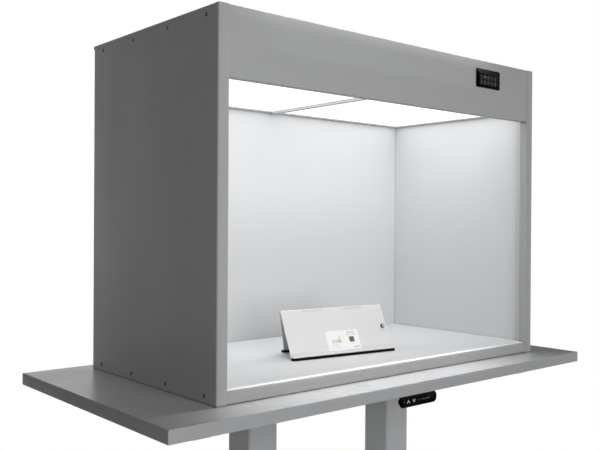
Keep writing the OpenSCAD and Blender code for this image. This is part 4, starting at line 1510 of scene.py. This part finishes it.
@dataclass
class Keypad:
    """The black keypad in the fascia, with its ten keys and its board."""

    width: float = 95.0
    height: float = 45.0
    proud: float = 1.5
    depth: float = 9.0
    rim: float = 3.0
    corner: float = 3.0
    border: float = 1.0
    edge: float = 0.7
    fit: float = 0.2
    columns: int = 5
    rows: int = 2
    figures: int = 7
    key_radius: float = 4.2
    pitch: Flat = (14.0, 12.6)  # along X, along Z
    row_top: float = 19.5
    marks_top: float = 9.6
    stem: float = 9.9
    dish: float = 0.1
    bright: tuple[int, ...] = (2, 3, 7)
    print_depth: float = 0.05
    ring: Flat = (5.1, 0.28)  # radius, line
    lamp_mark: float = 0.55
    figure: float = 4.6
    arrow: Point = (3.6, 2.4, 0.8)  # width, height, line
    switch_ring: Flat = (1.7, 0.5)  # radius, line
    switch_bar: Point = (0.3, 0.2, 2.2)  # half width, lower end, upper end
    maker: KeyMaker = field(default_factory=KeyMaker)

    def spots(self) -> list[Flat]:
        """Middle of each key from the keypad's lower left corner, row by row.

        Returns:
            The places as X and Z.
        """
        first = (self.width - (self.columns - 1) * self.pitch[0]) / 2
        return [(first + column * self.pitch[0],
                 self.height - self.row_top - row * self.pitch[1])
                for row in range(self.rows) for column in range(self.columns)]

    def cutout(self, corner: Vector) -> tuple[Flat, Flat]:
        """The fascia's cut-out, from the cabinet's corner.

        Args:
            corner: The cabinet's left front bottom corner in the frame.

        Returns:
            Its lowest and highest X and Z.
        """
        low = (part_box("keypad_housing")[0] - corner) / METRE
        return ((low.x + self.rim - self.fit, low.z + self.rim - self.fit),
                (low.x + self.width - self.rim + self.fit,
                 low.z + self.height - self.rim + self.fit))

    def housing(self) -> Shape:
        """Front plate with its bores, and the narrower body behind the fascia.

        Returns:
            The new shape.
        """
        house = Housing(self.width, self.height, self.corner, self.border)
        ends = [self.maker.bore(house, x, z, self.key_radius, self.depth + self.proud)
                for x, z in self.spots()]
        house.fill(house.front)
        back = house.swept(house.outline, self.proud)
        back = house.swept(back, 0.0, -self.rim)
        back = house.swept(back, self.depth)
        house.fill(back + [e for ring in ends for e in ring])
        edge = set(house.outline)
        house.rounded(self.edge, 3, lambda e: e in edge)
        house.outward()
        for x, _ in self.spots()[:self.columns]:
            mark = lathe([(0, 0), (self.lamp_mark, 0), (self.lamp_mark, self.print_depth),
                          (0, self.print_depth)], 12).turned("X", 90)
            house.add(mark.painted(1).moved(x, 0, self.height - self.marks_top))
        for x, z in self.spots():
            house.add(ink_ring(*self.ring, self.print_depth).painted(1).moved(x, 0, z))
        return house

    def sign(self, number: int) -> Shape:
        """Printed sign of one key: a figure, a switch sign or an arrow head.

        Args:
            number: The key's number, from 1 to 10.

        Returns:
            The new shape.
        """
        ink, arrow = self.maker.ink, chevron(*self.arrow)
        up, down = self.figures + 1, self.figures + 2
        if number < up:
            return written(str(number), self.figure, ink)
        if number <= down:
            return ink_mark(arrow if number == up else flipped(arrow), ink)
        half, low, high = self.switch_bar
        stroke = ink_mark([(-half, low), (half, low), (half, high), (-half, high)], ink)
        return joined(ink_ring(*self.switch_ring, ink, 24), stroke)

    def build(self) -> None:
        """Make the housing and the keys, and dress the board."""
        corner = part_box("keypad_housing")[0]
        make_piece("keypad", self.housing(), "table", [Palette.BLACK, Palette.FAINT],
                   scaled_at(corner), ["keypad_housing"])
        for number, (x, z) in enumerate(self.spots(), 1):
            self.maker.make(f"keypad_key_{number}", f"pad_key_{number}",
                            (self.key_radius, self.stem, self.dish), self.sign(number),
                            Palette.SIGN if number in self.bright else Palette.FAINT,
                            corner + Vector((x, 0, z)) * METRE)
        dress("control_board", Palette.CIRCUIT)


@dataclass
class Handset:
    """The table's handset: a black pill with lift and memory keys."""

    width: float = 118.0
    height: float = 24.0
    face: float = 9.0
    rim: float = 3.0
    depth: float = 70.0
    inset: float = 20.0
    tail: float = 8.0
    tail_overlap: float = 0.5
    tail_round: float = 0.8
    corner: float = 10.0
    border: float = 1.8
    pocket: float = 7.45
    lift_radius: float = 6.5
    lift_dish: float = 0.08
    memory_dish: float = 0.1
    lit_from: int = 3
    figure: float = 3.4
    arrow: Point = (9.0, 6.4, 0.95)  # width, height, line
    print_depth: float = 0.05
    edge: float = 1.5
    ring: Flat = (1.6, 0.45)  # radius, line
    ring_aside: float = 9.0
    mark_aside: float = 11.5
    lift_x: tuple[float, float] = (26.0, 44.0)
    memory_radius: float = 2.8
    memory_x: tuple[float, ...] = (56.5, 65.5, 74.5, 83.5)
    stem: float = 5.5
    maker: KeyMaker = field(default_factory=KeyMaker)

    def body(self) -> Shape:
        """Pill-shaped face with the bores for its keys, and the tail behind it.

        Returns:
            The new shape.
        """
        house = Housing(self.width, self.height, self.corner, self.border)
        middle = self.height / 2
        ends = [self.maker.bore(house, x, middle, self.lift_radius, self.pocket, 48)
                for x in self.lift_x]
        ends += [self.maker.bore(house, x, middle, self.memory_radius, self.pocket, 24)
                 for x in self.memory_x]
        house.fill(house.front)
        for ring in ends:
            house.capped(ring)
        step = house.swept(house.swept(house.outline, self.rim), 0.0, -self.rim)
        house.capped(house.swept(step, self.face - self.rim))
        edge = set(house.outline)
        house.rounded(self.edge, 4, lambda e: e in edge)
        house.outward()
        house.add(block((self.inset, self.face - self.tail_overlap, self.height - self.tail),
                        (self.width - self.inset, self.depth, self.height), self.tail_round))
        ring = ink_ring(*self.ring, self.print_depth, 24)
        house.add(ring.painted(1).moved(self.memory_x[-1] + self.ring_aside, 0, middle))
        mark = ink_mark([(-0.9, -2.0), (-0.3, -2.0), (0.5, 0), (-0.3, 2.0), (-0.9, 2.0),
                         (-0.1, 0)], self.print_depth)
        house.add(mark.painted(1).moved(self.lift_x[0] - self.mark_aside, 0, middle))
        return house

    def build(self) -> None:
        """Make the body and its six keys."""
        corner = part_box("handset_body")[0]
        make_piece("handset", self.body(), "table", [Palette.BLACK, Palette.FAINT],
                   scaled_at(corner), ["handset_body"])
        middle = Vector((0, 0, self.height / 2))
        arrow = chevron(*self.arrow)
        for way, x, outline in (("up", self.lift_x[0], arrow),
                                ("down", self.lift_x[1], flipped(arrow))):
            self.maker.make(f"lift_{way}_key", f"handset_{way}_key",
                            (self.lift_radius, self.stem, self.lift_dish),
                            ink_mark(outline, self.maker.ink), Palette.SIGN,
                            corner + (middle + Vector((x, 0, 0))) * METRE)
        for number, x in enumerate(self.memory_x, 1):
            self.maker.make(f"memory_cap_{number}", f"memory_key_{number}",
                            (self.memory_radius, self.stem, self.memory_dish),
                            written(str(number), self.figure, self.maker.ink),
                            Palette.SIGN if number >= self.lit_from else Palette.FAINT,
                            corner + (middle + Vector((x, 0, 0))) * METRE)


# ---- Sample stand -------------------------------------------------------------------------


@dataclass
class SampleStand:
    """The folding stand: plate, rear leg, hinge, knob, rubber strips and a sample card."""

    width: float = 292.0
    length: float = 108.0
    slope: float = 64.0
    taper: float = 42.0
    sheet: float = 2.0
    ledge: float = 12.0
    lip: float = 8.0
    rubber: float = 6.0
    turn: float = -7.5
    place_x: float = 317.0
    place_y: float = 169.0
    floor: float = 27.5
    fold: float = 2.6
    knuckle: float = 3.0
    knuckle_gap: float = 0.4
    notch_play: float = 0.1
    knuckle_edge: float = 0.3
    knuckles: int = 5
    bulge: float = 0.2
    knob_side: float = 13.0
    knob_up: float = 54.0
    knob: float = 5.0
    knob_height: float = 4.0
    knob_shank: float = 2.0
    knob_steps: int = 60
    knob_face: float = 3.4
    flute: float = 0.22
    plate_bore: float = 1.51
    leg_bore: float = 1.55
    card: Point = (95.0, 50.0, 0.5)  # width, height, thickness
    card_x: float = 106.0
    card_gap: float = 0.1
    print_sunk: float = 0.02
    print_proud: float = 0.03
    inks: tuple[Palette, ...] = (Palette.CARD, Palette.MOSS, Palette.LIME, Palette.RULE,
                                 Palette.OLIVE, Palette.PALE)
    patches: tuple[tuple[Palette, Flat, Flat], ...] = (
        (Palette.MOSS, (65.0, 20.0), (79.0, 33.0)), (Palette.OLIVE, (68.0, 22.5), (76.0, 30.0)),
        (Palette.RULE, (66.0, 17.4), (80.0, 18.2)), (Palette.LIME, (32.0, 20.0), (40.0, 28.0)),
        (Palette.PALE, (23.0, 20.0), (30.5, 28.0)), (Palette.PALE, (14.5, 20.0), (21.5, 28.0)),
        (Palette.RULE, (14.5, 15.5), (30.0, 16.3)), (Palette.RULE, (14.5, 12.5), (37.0, 13.3)),
        (Palette.RULE, (60.0, 42.5), (84.0, 45.0)), (Palette.RULE, (57.0, 37.8), (70.0, 39.4)),
        (Palette.RULE, (72.0, 37.8), (88.0, 39.4)), (Palette.RULE, (34.0, 31.0), (42.0, 34.0)),
        (Palette.RULE, (13.0, 8.0), (40.0, 8.8)), (Palette.RULE, (74.0, 6.0), (90.0, 9.0)))
    corner: Vector = field(default_factory=lambda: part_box("left_side_panel")[0])

    def __post_init__(self) -> None:
        """Work out the hinge's place from the plate's size and slope."""
        self.cos = math.cos(math.radians(self.slope))
        self.sin = math.sin(math.radians(self.slope))
        self.base = self.rubber + self.sheet
        offset = self.knuckle - self.bulge - self.sheet / 2
        self.hinge_y = self.length * self.cos + offset * self.sin
        self.hinge_z = self.base + self.length * self.sin - offset * self.cos
        self.pitch = self.width / self.knuckles

    def place(self) -> Matrix:
        """Placement of a shape drawn from the stand's left front corner on the booth floor."""
        spot = self.corner + Vector((self.place_x, self.place_y, self.floor)) * METRE
        return scaled_at(spot, self.turn)

    def on_plate(self) -> Matrix:
        """Placement, inside the stand, of a shape drawn on the sloping plate."""
        return (Matrix.Translation((0, 0, self.base))
                @ Matrix.Rotation(math.radians(self.slope), 4, "X"))

    def leaf(self, lip: float, inset: float) -> Shape:
        """Bent sheet of one leaf, notched for the other leaf's knuckles.

        Args:
            lip: Height of the sheet's front edge over its foot, or 0.
            inset: How far each side is drawn in at the foot.

        Returns:
            The new shape, without its knuckles.
        """
        half = self.sheet / 2
        back_y, back_z = half * self.sin, half * self.cos
        bend = back_y - (self.sheet - back_z) * self.cos / self.sin
        top = (self.length * self.cos + back_y, self.base + self.length * self.sin - back_z)
        path = [(-self.ledge, self.rubber), (bend, self.rubber), top]
        if lip:
            path.insert(0, (-self.ledge, self.rubber + lip))
        leaf = sheet(list(reversed(path)), self.width, 0.0)
        for vert in leaf.bm.verts:
            if vert.co.y <= self.base + 1 + lip:
                side = 1 if vert.co.z > self.width / 2 else -1
                vert.co.z -= side * inset
        leaf.rounded(self.fold, 5, lambda edge: len(edge.link_faces) == 2)
        notch = top[1] - (self.knuckle + self.knuckle_gap + self.notch_play) * self.sin
        leaf.cut((0, notch, 0), (0, 1, 0))
        for i in range(1, self.knuckles):
            for side in (-1, 1):
                leaf.cut((0, 0, i * self.pitch + side * self.knuckle_gap / 2), (0, 0, 1))
        first = 0 if inset else 1

        def cleared(c: Vector) -> bool:
            """Whether a face lies where the other leaf's knuckles or the gaps are.

            Args:
                c: The face's middle.

            Returns:
                True where the face goes.
            """
            along = c.z / self.pitch
            beside = abs(along - round(along)) < 0.4 * self.knuckle_gap / self.pitch
            gap = beside and 0.1 < along < self.knuckles - 0.1
            return c.y > notch and (round(c.z // self.pitch) % 2 == first or gap)

        return leaf.drop(cleared).thickened(self.sheet).placed(laid_along_x())

    def barrels(self, first: int, bore: float) -> Shape:
        """Every second knuckle, rolled round the hinge pin.

        Args:
            first: Number of the first knuckle, 0 or 1.
            bore: Radius of their bore.

        Returns:
            The new shape.
        """
        whole = Shape()
        low, high = self.knuckle_gap / 2, self.pitch - self.knuckle_gap / 2
        r, edge = self.knuckle, self.knuckle_edge
        tube = lathe([(bore, low), (r - edge, low), (r, low + edge), (r, high - edge),
                      (r - edge, high), (bore, high)], 28, ring=True).turned("Y", 90)
        for i in range(first, self.knuckles, 2):
            whole.add(tube, Matrix.Translation((i * self.pitch, self.hinge_y, self.hinge_z)))
        return whole

    def plate(self) -> Shape:
        """Sloping front plate with its ledge, lip and knuckles."""
        return joined(self.leaf(self.lip, 0.0), self.barrels(0, self.plate_bore))

    def leg(self) -> Shape:
        """Rear leaf, the plate's mirror image behind the hinge, drawn in towards its foot."""
        leaf = Shape().add(self.leaf(0.0, self.taper), mirrored("Y", 2 * self.hinge_y))
        return joined(leaf, self.barrels(1, self.leg_bore))

    def knob_shape(self) -> Shape:
        """Turned knob with a blackened, fluted rim and a bright face whose steel paints a highlight.

        Returns:
            The new shape, at its place on the plate.
        """
        half, r = self.sheet / 2, self.knob
        top = half + self.knob_height
        knob = lathe([(0, -self.sheet), (self.knob_shank, -self.sheet), (self.knob_shank, half),
                      (r - 0.5, half), (r, half + 0.4), (r, top - 0.5), (r - 0.5, top),
                      (3.1, top), (2.7, top - 0.3), (2.5, top - 1.3), (0, top - 1.5)],
                     self.knob_steps)
        for vert in knob.bm.verts:
            spot = Vector(vert.co.xy)
            turn = round(math.degrees(math.atan2(spot.y, spot.x)) * self.knob_steps / 360)
            if turn % 2 and spot.length > r - 0.05:
                vert.co.xy = spot * (1 - self.flute / r)
        # The recessed face takes the bright steel, a painted highlight.
        for face in knob.bm.faces:
            middle = face.calc_center_median()
            deep = middle.xy.length < self.knob_face and middle.z > half + 1
            face.material_index = 1 if deep else 0
        return knob.placed(Matrix.Translation((self.width - self.knob_side, self.knob_up, 0)))

    def sample(self) -> Shape:
        """Sample card with generic colour patches and blank rules.

        Returns:
            The new shape, at its place on the plate.
        """
        wide, high, thick = self.card
        low = self.sheet / 2 + self.card_gap
        card = block((0, 0, low), (wide, high, low + thick), 0.12, 1)
        for ink, start, end in self.patches:
            patch = block((*start, low + thick - self.print_sunk),
                          (*end, low + thick + self.print_proud))
            card.add(patch.painted(self.inks.index(ink)))
        return card.moved(self.card_x, self.sheet, 0)

    def build(self) -> None:
        """Make the stand's pieces."""
        tilted = self.place() @ self.on_plate()
        for name, shape, body, node in (("sloping_plate", self.plate(), "stand", "stand_plate"),
                                        ("rear_leg", self.leg(), "stand_leg", "stand_leg")):
            make_piece(name, shape, body, [Palette.STAND], self.place(), [node], soften=0.35)
        make_piece("knob", self.knob_shape(), "stand_knob", [Palette.SCREW, Palette.RIVET], tilted,
                   ["stand_knob"])
        make_piece("card", self.sample(), "sample_card", self.inks, tilted, ["sample_card"])
        dress("stand_hinge_pin", Palette.PIN, 0.3)
        for node in ("front_rubber", "rear_rubber"):
            dress(node, Palette.RUBBER, 0.7, 3)


# ---- Table --------------------------------------------------------------------------------


@dataclass
class Worktop:
    """The laminated board with its edge band."""

    width: float = 1250.0
    depth: float = 620.0
    thickness: float = 25.0
    band: float = 2.0
    corner_round: float = 1.6
    rim_round: float = 0.9
    board_round: float = 0.12
    edge_zone: float = 0.61

    def build(self) -> None:
        """Make the board and the band."""
        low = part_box("edge_band")[0]
        t, b = self.thickness, self.band
        board = block((b, b, 0), (self.width - b, self.depth - b, t), self.board_round, 1)
        make_piece("board", board, "table", [Palette.LAMINATE], scaled_at(low), ["worktop"])
        path = [(0, 0), (0, self.depth), (self.width, self.depth), (self.width, 0)]
        band = sheet(path, t, 0.0, closed=True)
        band.rounded(self.corner_round, FOLD_STEPS, lambda e: len(e.link_faces) == 2)
        band.thickened(b)
        band.bm.normal_update()
        band.rounded(self.rim_round, 3, self.on_rim)
        make_piece("band", band, "table", [Palette.BAND], scaled_at(low), ["edge_band"])

    def on_rim(self, edge: bmesh.types.BMEdge) -> bool:
        """Whether an edge is the band's outer top or bottom edge.

        Args:
            edge: The edge.

        Returns:
            True if it is.
        """
        level = [v.co.z for v in edge.verts]
        if max(level) - min(level) > WELD:
            return False
        flat = any(abs(f.normal.z) > 0.9 for f in edge.link_faces)
        return flat and any(self._outside(f.calc_center_median())
                            for f in edge.link_faces if abs(f.normal.z) < 0.5)

    def _outside(self, point: Vector) -> bool:
        """Whether a point lies on the band's outer face."""
        near = min(point.x, point.y, self.width - point.x, self.depth - point.y)
        return near < self.edge_zone


@dataclass
class TableFrame:
    """The steel frame under the board, the control box and the screws' places."""

    frame_length: float = 1040.0
    arm_width: float = 40.0
    arm_length: float = 440.0
    arm_screw: float = 40.0
    arm_screw_pitch: float = 72.0
    sheet: float = 2.0
    sockets: int = 3
    first_socket: float = 34.0
    socket_pitch: float = 52.0
    socket: Point = (22.0, 0.6, 12.0)  # width, depth, height
    socket_low: float = 9.0
    socket_wall: float = 3.0
    case_round: float = 2.0
    rib: Point = (4.0, 14.0, 0.5)  # width, distance from the sides, height
    first_rib: int = 12
    rib_pitch: int = 10

    def screw_spots(self, corner: Vector) -> list[Point]:
        """Place of each screw under the cross arms.

        Args:
            corner: The cabinet's left front bottom corner in the frame.

        Returns:
            The places in millimetres from that corner.
        """
        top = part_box("top_frame")[1].z / METRE - self.sheet
        outer = self.arm_length / 2 - self.arm_screw
        inner = self.arm_screw_pitch / 2
        shift = corner / METRE
        return [(x * (self.frame_length - self.arm_width) / 2 - shift.x, y - shift.y,
                 top - shift.z) for x in (-1, 1) for y in (-outer, -inner, inner, outer)]

    def build(self) -> None:
        """Dress the frame and make the control box."""
        dress("top_frame", Palette.COLUMN, 0.5)
        low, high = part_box("control_box")
        size = (high - low) / METRE
        case = block((0, 0, 0), tuple(size), self.case_round, 3)
        wide, deep, tall = self.socket
        wall, base = self.socket_wall, self.socket_low
        for number in range(self.sockets):
            x = self.first_socket + number * self.socket_pitch
            case.add(block((x, 0, base), (x + wide, deep, base + tall), 0.25, 1).painted(1))
            case.add(block((x + wall, -0.01, base + wall),
                           (x + wide - wall, 0.4, base + tall - wall)).painted(2))
        thick, margin, raised = self.rib
        for x in range(self.first_rib, int(size.x) - self.rib_pitch, self.rib_pitch):
            case.add(block((x, margin, 0), (x + thick, size.y - margin, raised), 0.2, 1))
        make_piece("control_unit", case, "table",
                   [Palette.DARK, Palette.KEY, Palette.BLACK], scaled_at(low), ["control_box"])


@dataclass
class LiftingColumns:
    """The two telescopic columns with their drives, spindles, nuts and wipers."""

    gearbox: float = 76.0
    gearbox_height: float = 38.0
    motor: float = 18.0
    motor_length: float = 100.0
    seam: Flat = (3.0, 2.0)  # shown height of the base, of the lid
    base: Point = (2.0, 6.0, 1.0)  # inset, thickness, rounding
    lid: Point = (4.0, 5.0, 1.5)  # inset, thickness, rounding
    screw: tuple[float, ...] = (3.2, 1.6, 1.5, 3.0)  # head radius and height, shank radius and length
    screw_in: float = 9.0

    def drive(self, side: int) -> Shape:
        """Gearbox with its motor, from the middle of its underside.

        Args:
            side: -1 for the left column, whose motor points right, or 1.

        Returns:
            The new shape.
        """
        half, high = self.gearbox / 2, self.gearbox_height
        case = block((-half, -half, self.seam[0]), (half, half, high - self.seam[1]), 3.0, 3)
        inset, thick, round_edge = self.base
        case.add(block((inset - half, inset - half, 0), (half - inset, half - inset, thick),
                       round_edge))
        inset, thick, round_edge = self.lid
        case.add(block((inset - half, inset - half, high - thick),
                       (half - inset, half - inset, high), round_edge))
        for x in (-1, 1):
            for y in (-1, 1):
                screw = pan_head_screw(*self.screw)
                spot = (x * (half - self.screw_in), y * (half - self.screw_in),
                        high - self.screw[1])
                case.add(screw.moved(*spot).painted(1))
        r, length = self.motor, self.motor_length
        profile = [(0, 0), (r - 2, 0), (r - 1.5, 1.5), (r - 1.5, 9), (r, 10), (r, 70), (r - 0.8, 71),
                   (r - 0.8, 73), (r, 74), (r, length - 4), (r - 1.5, length - 1), (7, length - 1),
                   (6, length), (0, length)]
        can = lathe(profile, 40).turned("Y", 90)
        if side > 0:
            can.turned("Z", 180)
        return case.add(can.moved(-side * half, 0, high / 2))

    def build(self) -> None:
        """Make the drives and dress the rest."""
        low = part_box("lift_drives")[0]
        whole = Shape()
        for way, side in ((-1, "left"), (1, "right")):
            a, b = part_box(f"{side}_outer_tube")
            x = (a.x + b.x) / 2 / METRE
            whole.add(self.drive(way), Matrix.Translation((x, 0, low.z / METRE)))
        make_piece("drives", whole, "table", [Palette.DRIVE, Palette.SCREW],
                   Matrix.Scale(METRE, 4), ["lift_drives"])
        for side in ("left", "right"):
            dress(f"{side}_outer_tube", Palette.COLUMN, 0.5)
            dress(f"{side}_inner_tube", Palette.COLUMN, 0.5)
            dress(f"{side}_spindle", Palette.SPINDLE, 0.5)
        dress("nut_blocks", Palette.NUT, 0.5)
        dress("column_wipers", Palette.DARK, 0.4)


@dataclass
class Feet:
    """The two steel feet and their four levelling feet."""

    pad: float = 20.0
    pad_height: float = 8.0
    clear: float = 12.0
    stud: float = 4.0
    stud_in: float = 18.0
    hexagon: float = 7.0
    from_end: float = 0.030

    def leveller(self) -> Shape:
        """Round pad, hexagon nut and stud, standing on the floor.

        Returns:
            The new shape.
        """
        r, h = self.pad, self.pad_height
        pad = lathe([(0, 0), (r - 3, 0), (r - 0.5, 1.0), (r, 2.2), (r, 3.6), (r - 0.8, 4.6),
                     (r - 8, h - 1.2), (r - 11, h), (0, h)], 40)
        corners = [(self.hexagon * math.cos(math.radians(a)),
                    self.hexagon * math.sin(math.radians(a))) for a in range(0, 360, 60)]
        nut = prism(corners, self.clear - h - 0.4).moved(0, 0, h + 0.2)
        top = self.clear + self.stud_in
        stud = lathe([(0, h - 0.5), (self.stud, h - 0.5), (self.stud, top - 1),
                      (self.stud - 1, top), (0, top)], 24)
        return joined(pad, nut.painted(1), stud.painted(1))

    def build(self) -> None:
        """Dress the feet and make the levelling feet."""
        whole = Shape()
        one = self.leveller()
        for side in ("left", "right"):
            dress(f"{side}_foot", Palette.COLUMN, 2.0, 3)
            low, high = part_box(f"{side}_foot")
            for y in (low.y + self.from_end, high.y - self.from_end):
                whole.add(one, Matrix.Translation(((low.x + high.x) / 2 / METRE, y / METRE, 0)))
        make_piece("levellers", whole, "base", [Palette.DARK, Palette.PIN],
                   Matrix.Scale(METRE, 4), ["levelling_feet"])


# ---- Studio -------------------------------------------------------------------------------


class Lamp(Enum):
    """Soft lights of the studio: place, aim, size in metres, watts and spread in degrees."""

    FRONT = ((-0.6, -2.45, 1.35), (0.0, 0.0, 1.0), (1.4, 1.6), 42.0, 180.0)
    LEFT = ((-2.6, 1.2, 1.4), (0.0, 0.2, 1.0), (1.2, 1.4), 3.3, 180.0)
    OVER = ((-0.04, -0.242, 1.9), (-0.04, -0.262, 0.7), (0.74, 0.01), 0.8, 25.0)
    REAR = ((-0.2, 2.9, 1.15), (0.0, 0.27, 1.05), (1.6, 1.0), 28.0, 120.0)
    RIGHT = ((2.2, -0.4, 1.1), (0.5, 0.0, 1.0), (0.7, 1.0), 6.0, 90.0)


@dataclass
class Studio:
    """Pale floor, soft lights, background and camera."""

    lens: float = 47.375
    sensor: float = 36.0
    place: Point = (-1.29542, -1.42078, 1.04999)
    turn: Point = (89.763, -0.3532, -40.506)
    ambient: float = 0.01
    floor_radius: float = 9.0
    fade: Flat = (1.15, 1.75)  # start, end
    flag_place: Point = (1.75, 0.9, 0.6)
    flag_size: Point = (1.8, 0.01, 1.3)  # width, thickness, height

    def camera(self) -> None:
        """Set up the camera."""
        data = bpy.data.cameras.new("camera")
        data.lens = self.lens
        data.sensor_width = self.sensor
        view = bpy.data.objects.new("camera", data)
        view.location = self.place
        view.rotation_euler = [math.radians(a) for a in self.turn]
        bpy.context.scene.collection.objects.link(view)
        bpy.context.scene.camera = view

    def world(self) -> None:
        """White background for the eye and for gloss, and a plain ambient level for the rest."""
        world = bpy.data.worlds.new("studio")
        bpy.context.scene.world = world
        world.use_nodes = True
        net = Net(world.node_tree)
        seen = self._seen(net)
        level = net.ramp(seen, 0.0, 1.0, self.ambient, 1.0)
        shader = world.node_tree.nodes["Background"]
        shader.inputs["Color"].default_value = (1.0, 1.0, 1.0, 1.0)
        world.node_tree.links.new(level, shader.inputs["Strength"])

    def _seen(self, net: Net) -> bpy.types.NodeSocket:
        """1 for rays from the eye, and for those that gloss and glass send on.

        Args:
            net: The tree.

        Returns:
            The mask.
        """
        path = net.node("ShaderNodeLightPath")
        rays = [path.outputs[f"Is {kind} Ray"] for kind in ("Camera", "Glossy", "Transmission")]
        return net.math("MAXIMUM", net.math("MAXIMUM", rays[0], rays[1]), rays[2])

    def floor(self) -> None:
        """Pale floor that keeps the shadow and fades to white away from the table."""
        shape = Shape()
        bmesh.ops.create_circle(shape.bm, segments=64, radius=self.floor_radius, cap_ends=True)
        mesh = bpy.data.meshes.new("floor")
        shape.bm.to_mesh(mesh)
        floor = bpy.data.objects.new("floor", mesh)
        bpy.context.scene.collection.objects.link(floor)
        material = bpy.data.materials.new("studio_floor")
        material.use_nodes = True
        net = Net(material.node_tree)
        plain = material.node_tree.nodes["Principled BSDF"]
        where = net.node("ShaderNodeTexCoord").outputs["Object"]
        away = net.node("ShaderNodeVectorMath", {0: where}, operation="LENGTH").outputs["Value"]
        tone = net.noise(where, 4.0, 3.0)
        colour = net.mix(tone, (0.80, 0.80, 0.80, 1.0), (0.86, 0.86, 0.86, 1.0))
        net.tree.links.new(colour, plain.inputs["Base Color"])
        plain.inputs["Roughness"].default_value = 0.9
        glow = net.node("ShaderNodeEmission", {"Color": (1, 1, 1, 1), "Strength": 1.0})
        fade = net.math("MULTIPLY", net.ramp(away, *self.fade, 0.0, 1.0), self._seen(net))
        blend = net.node("ShaderNodeMixShader", {0: fade, 1: plain.outputs[0],
                                                 2: glow.outputs[0]})
        end = material.node_tree.nodes["Material Output"]
        net.tree.links.new(blend.outputs[0], end.inputs["Surface"])
        mesh.materials.append(material)

    def flag(self) -> None:
        """Black board at the right, out of the camera's sight, that keeps gloss off the desk."""
        wide, thick, high = self.flag_size
        shape = block((-wide / 2, 0.0, 0.0), (wide / 2, thick, high))
        mesh = bpy.data.meshes.new("flag")
        shape.placed(Matrix.Translation(self.flag_place)
                     @ Matrix.Rotation(math.radians(self.turn[2]), 4, "Z")).bm.to_mesh(mesh)
        flag = bpy.data.objects.new("flag", mesh)
        flag.visible_camera = False
        bpy.context.scene.collection.objects.link(flag)
        material = bpy.data.materials.new("studio_flag")
        material.use_nodes = True
        cloth = material.node_tree.nodes["Principled BSDF"]
        cloth.inputs["Base Color"].default_value = (0.01, 0.01, 0.01, 1.0)
        cloth.inputs["Roughness"].default_value = 0.9
        mesh.materials.append(material)

    def lamps(self) -> None:
        """Add the soft lights."""
        for lamp in Lamp:
            spot, aim, size, power, spread = lamp.value
            data = bpy.data.lights.new(lamp.name.lower(), "AREA")
            data.shape = "RECTANGLE"
            data.size, data.size_y = size
            data.energy = power
            data.spread = math.radians(spread)
            light = bpy.data.objects.new(lamp.name.lower(), data)
            light.location = spot
            light.rotation_euler = (Vector(aim) - Vector(spot)).to_track_quat("-Z", "Y").to_euler()
            light.visible_camera = False
            light.visible_glossy = False
            bpy.context.scene.collection.objects.link(light)

    def build(self) -> None:
        """Set up everything round the part."""
        self.camera()
        self.world()
        self.floor()
        self.flag()
        self.lamps()
        bpy.context.scene.view_settings.view_transform = "Standard"


def main() -> None:
    """Build the sub-assemblies in order."""
    logging.basicConfig(level=logging.INFO, format="%(name)s: %(message)s")
    Studio().build()
    cabinet, keypad, table = Cabinet(), Keypad(), TableFrame()
    cabinet.build(keypad.cutout(cabinet.corner), table.screw_spots(cabinet.corner))
    for part in (Booth(), LightUnit(), MainsInlet(), keypad, Handset(), SampleStand(),
                 Worktop(), table, LiftingColumns(), Feet()):
        part.build()


if __name__ == "__main__":
    main()
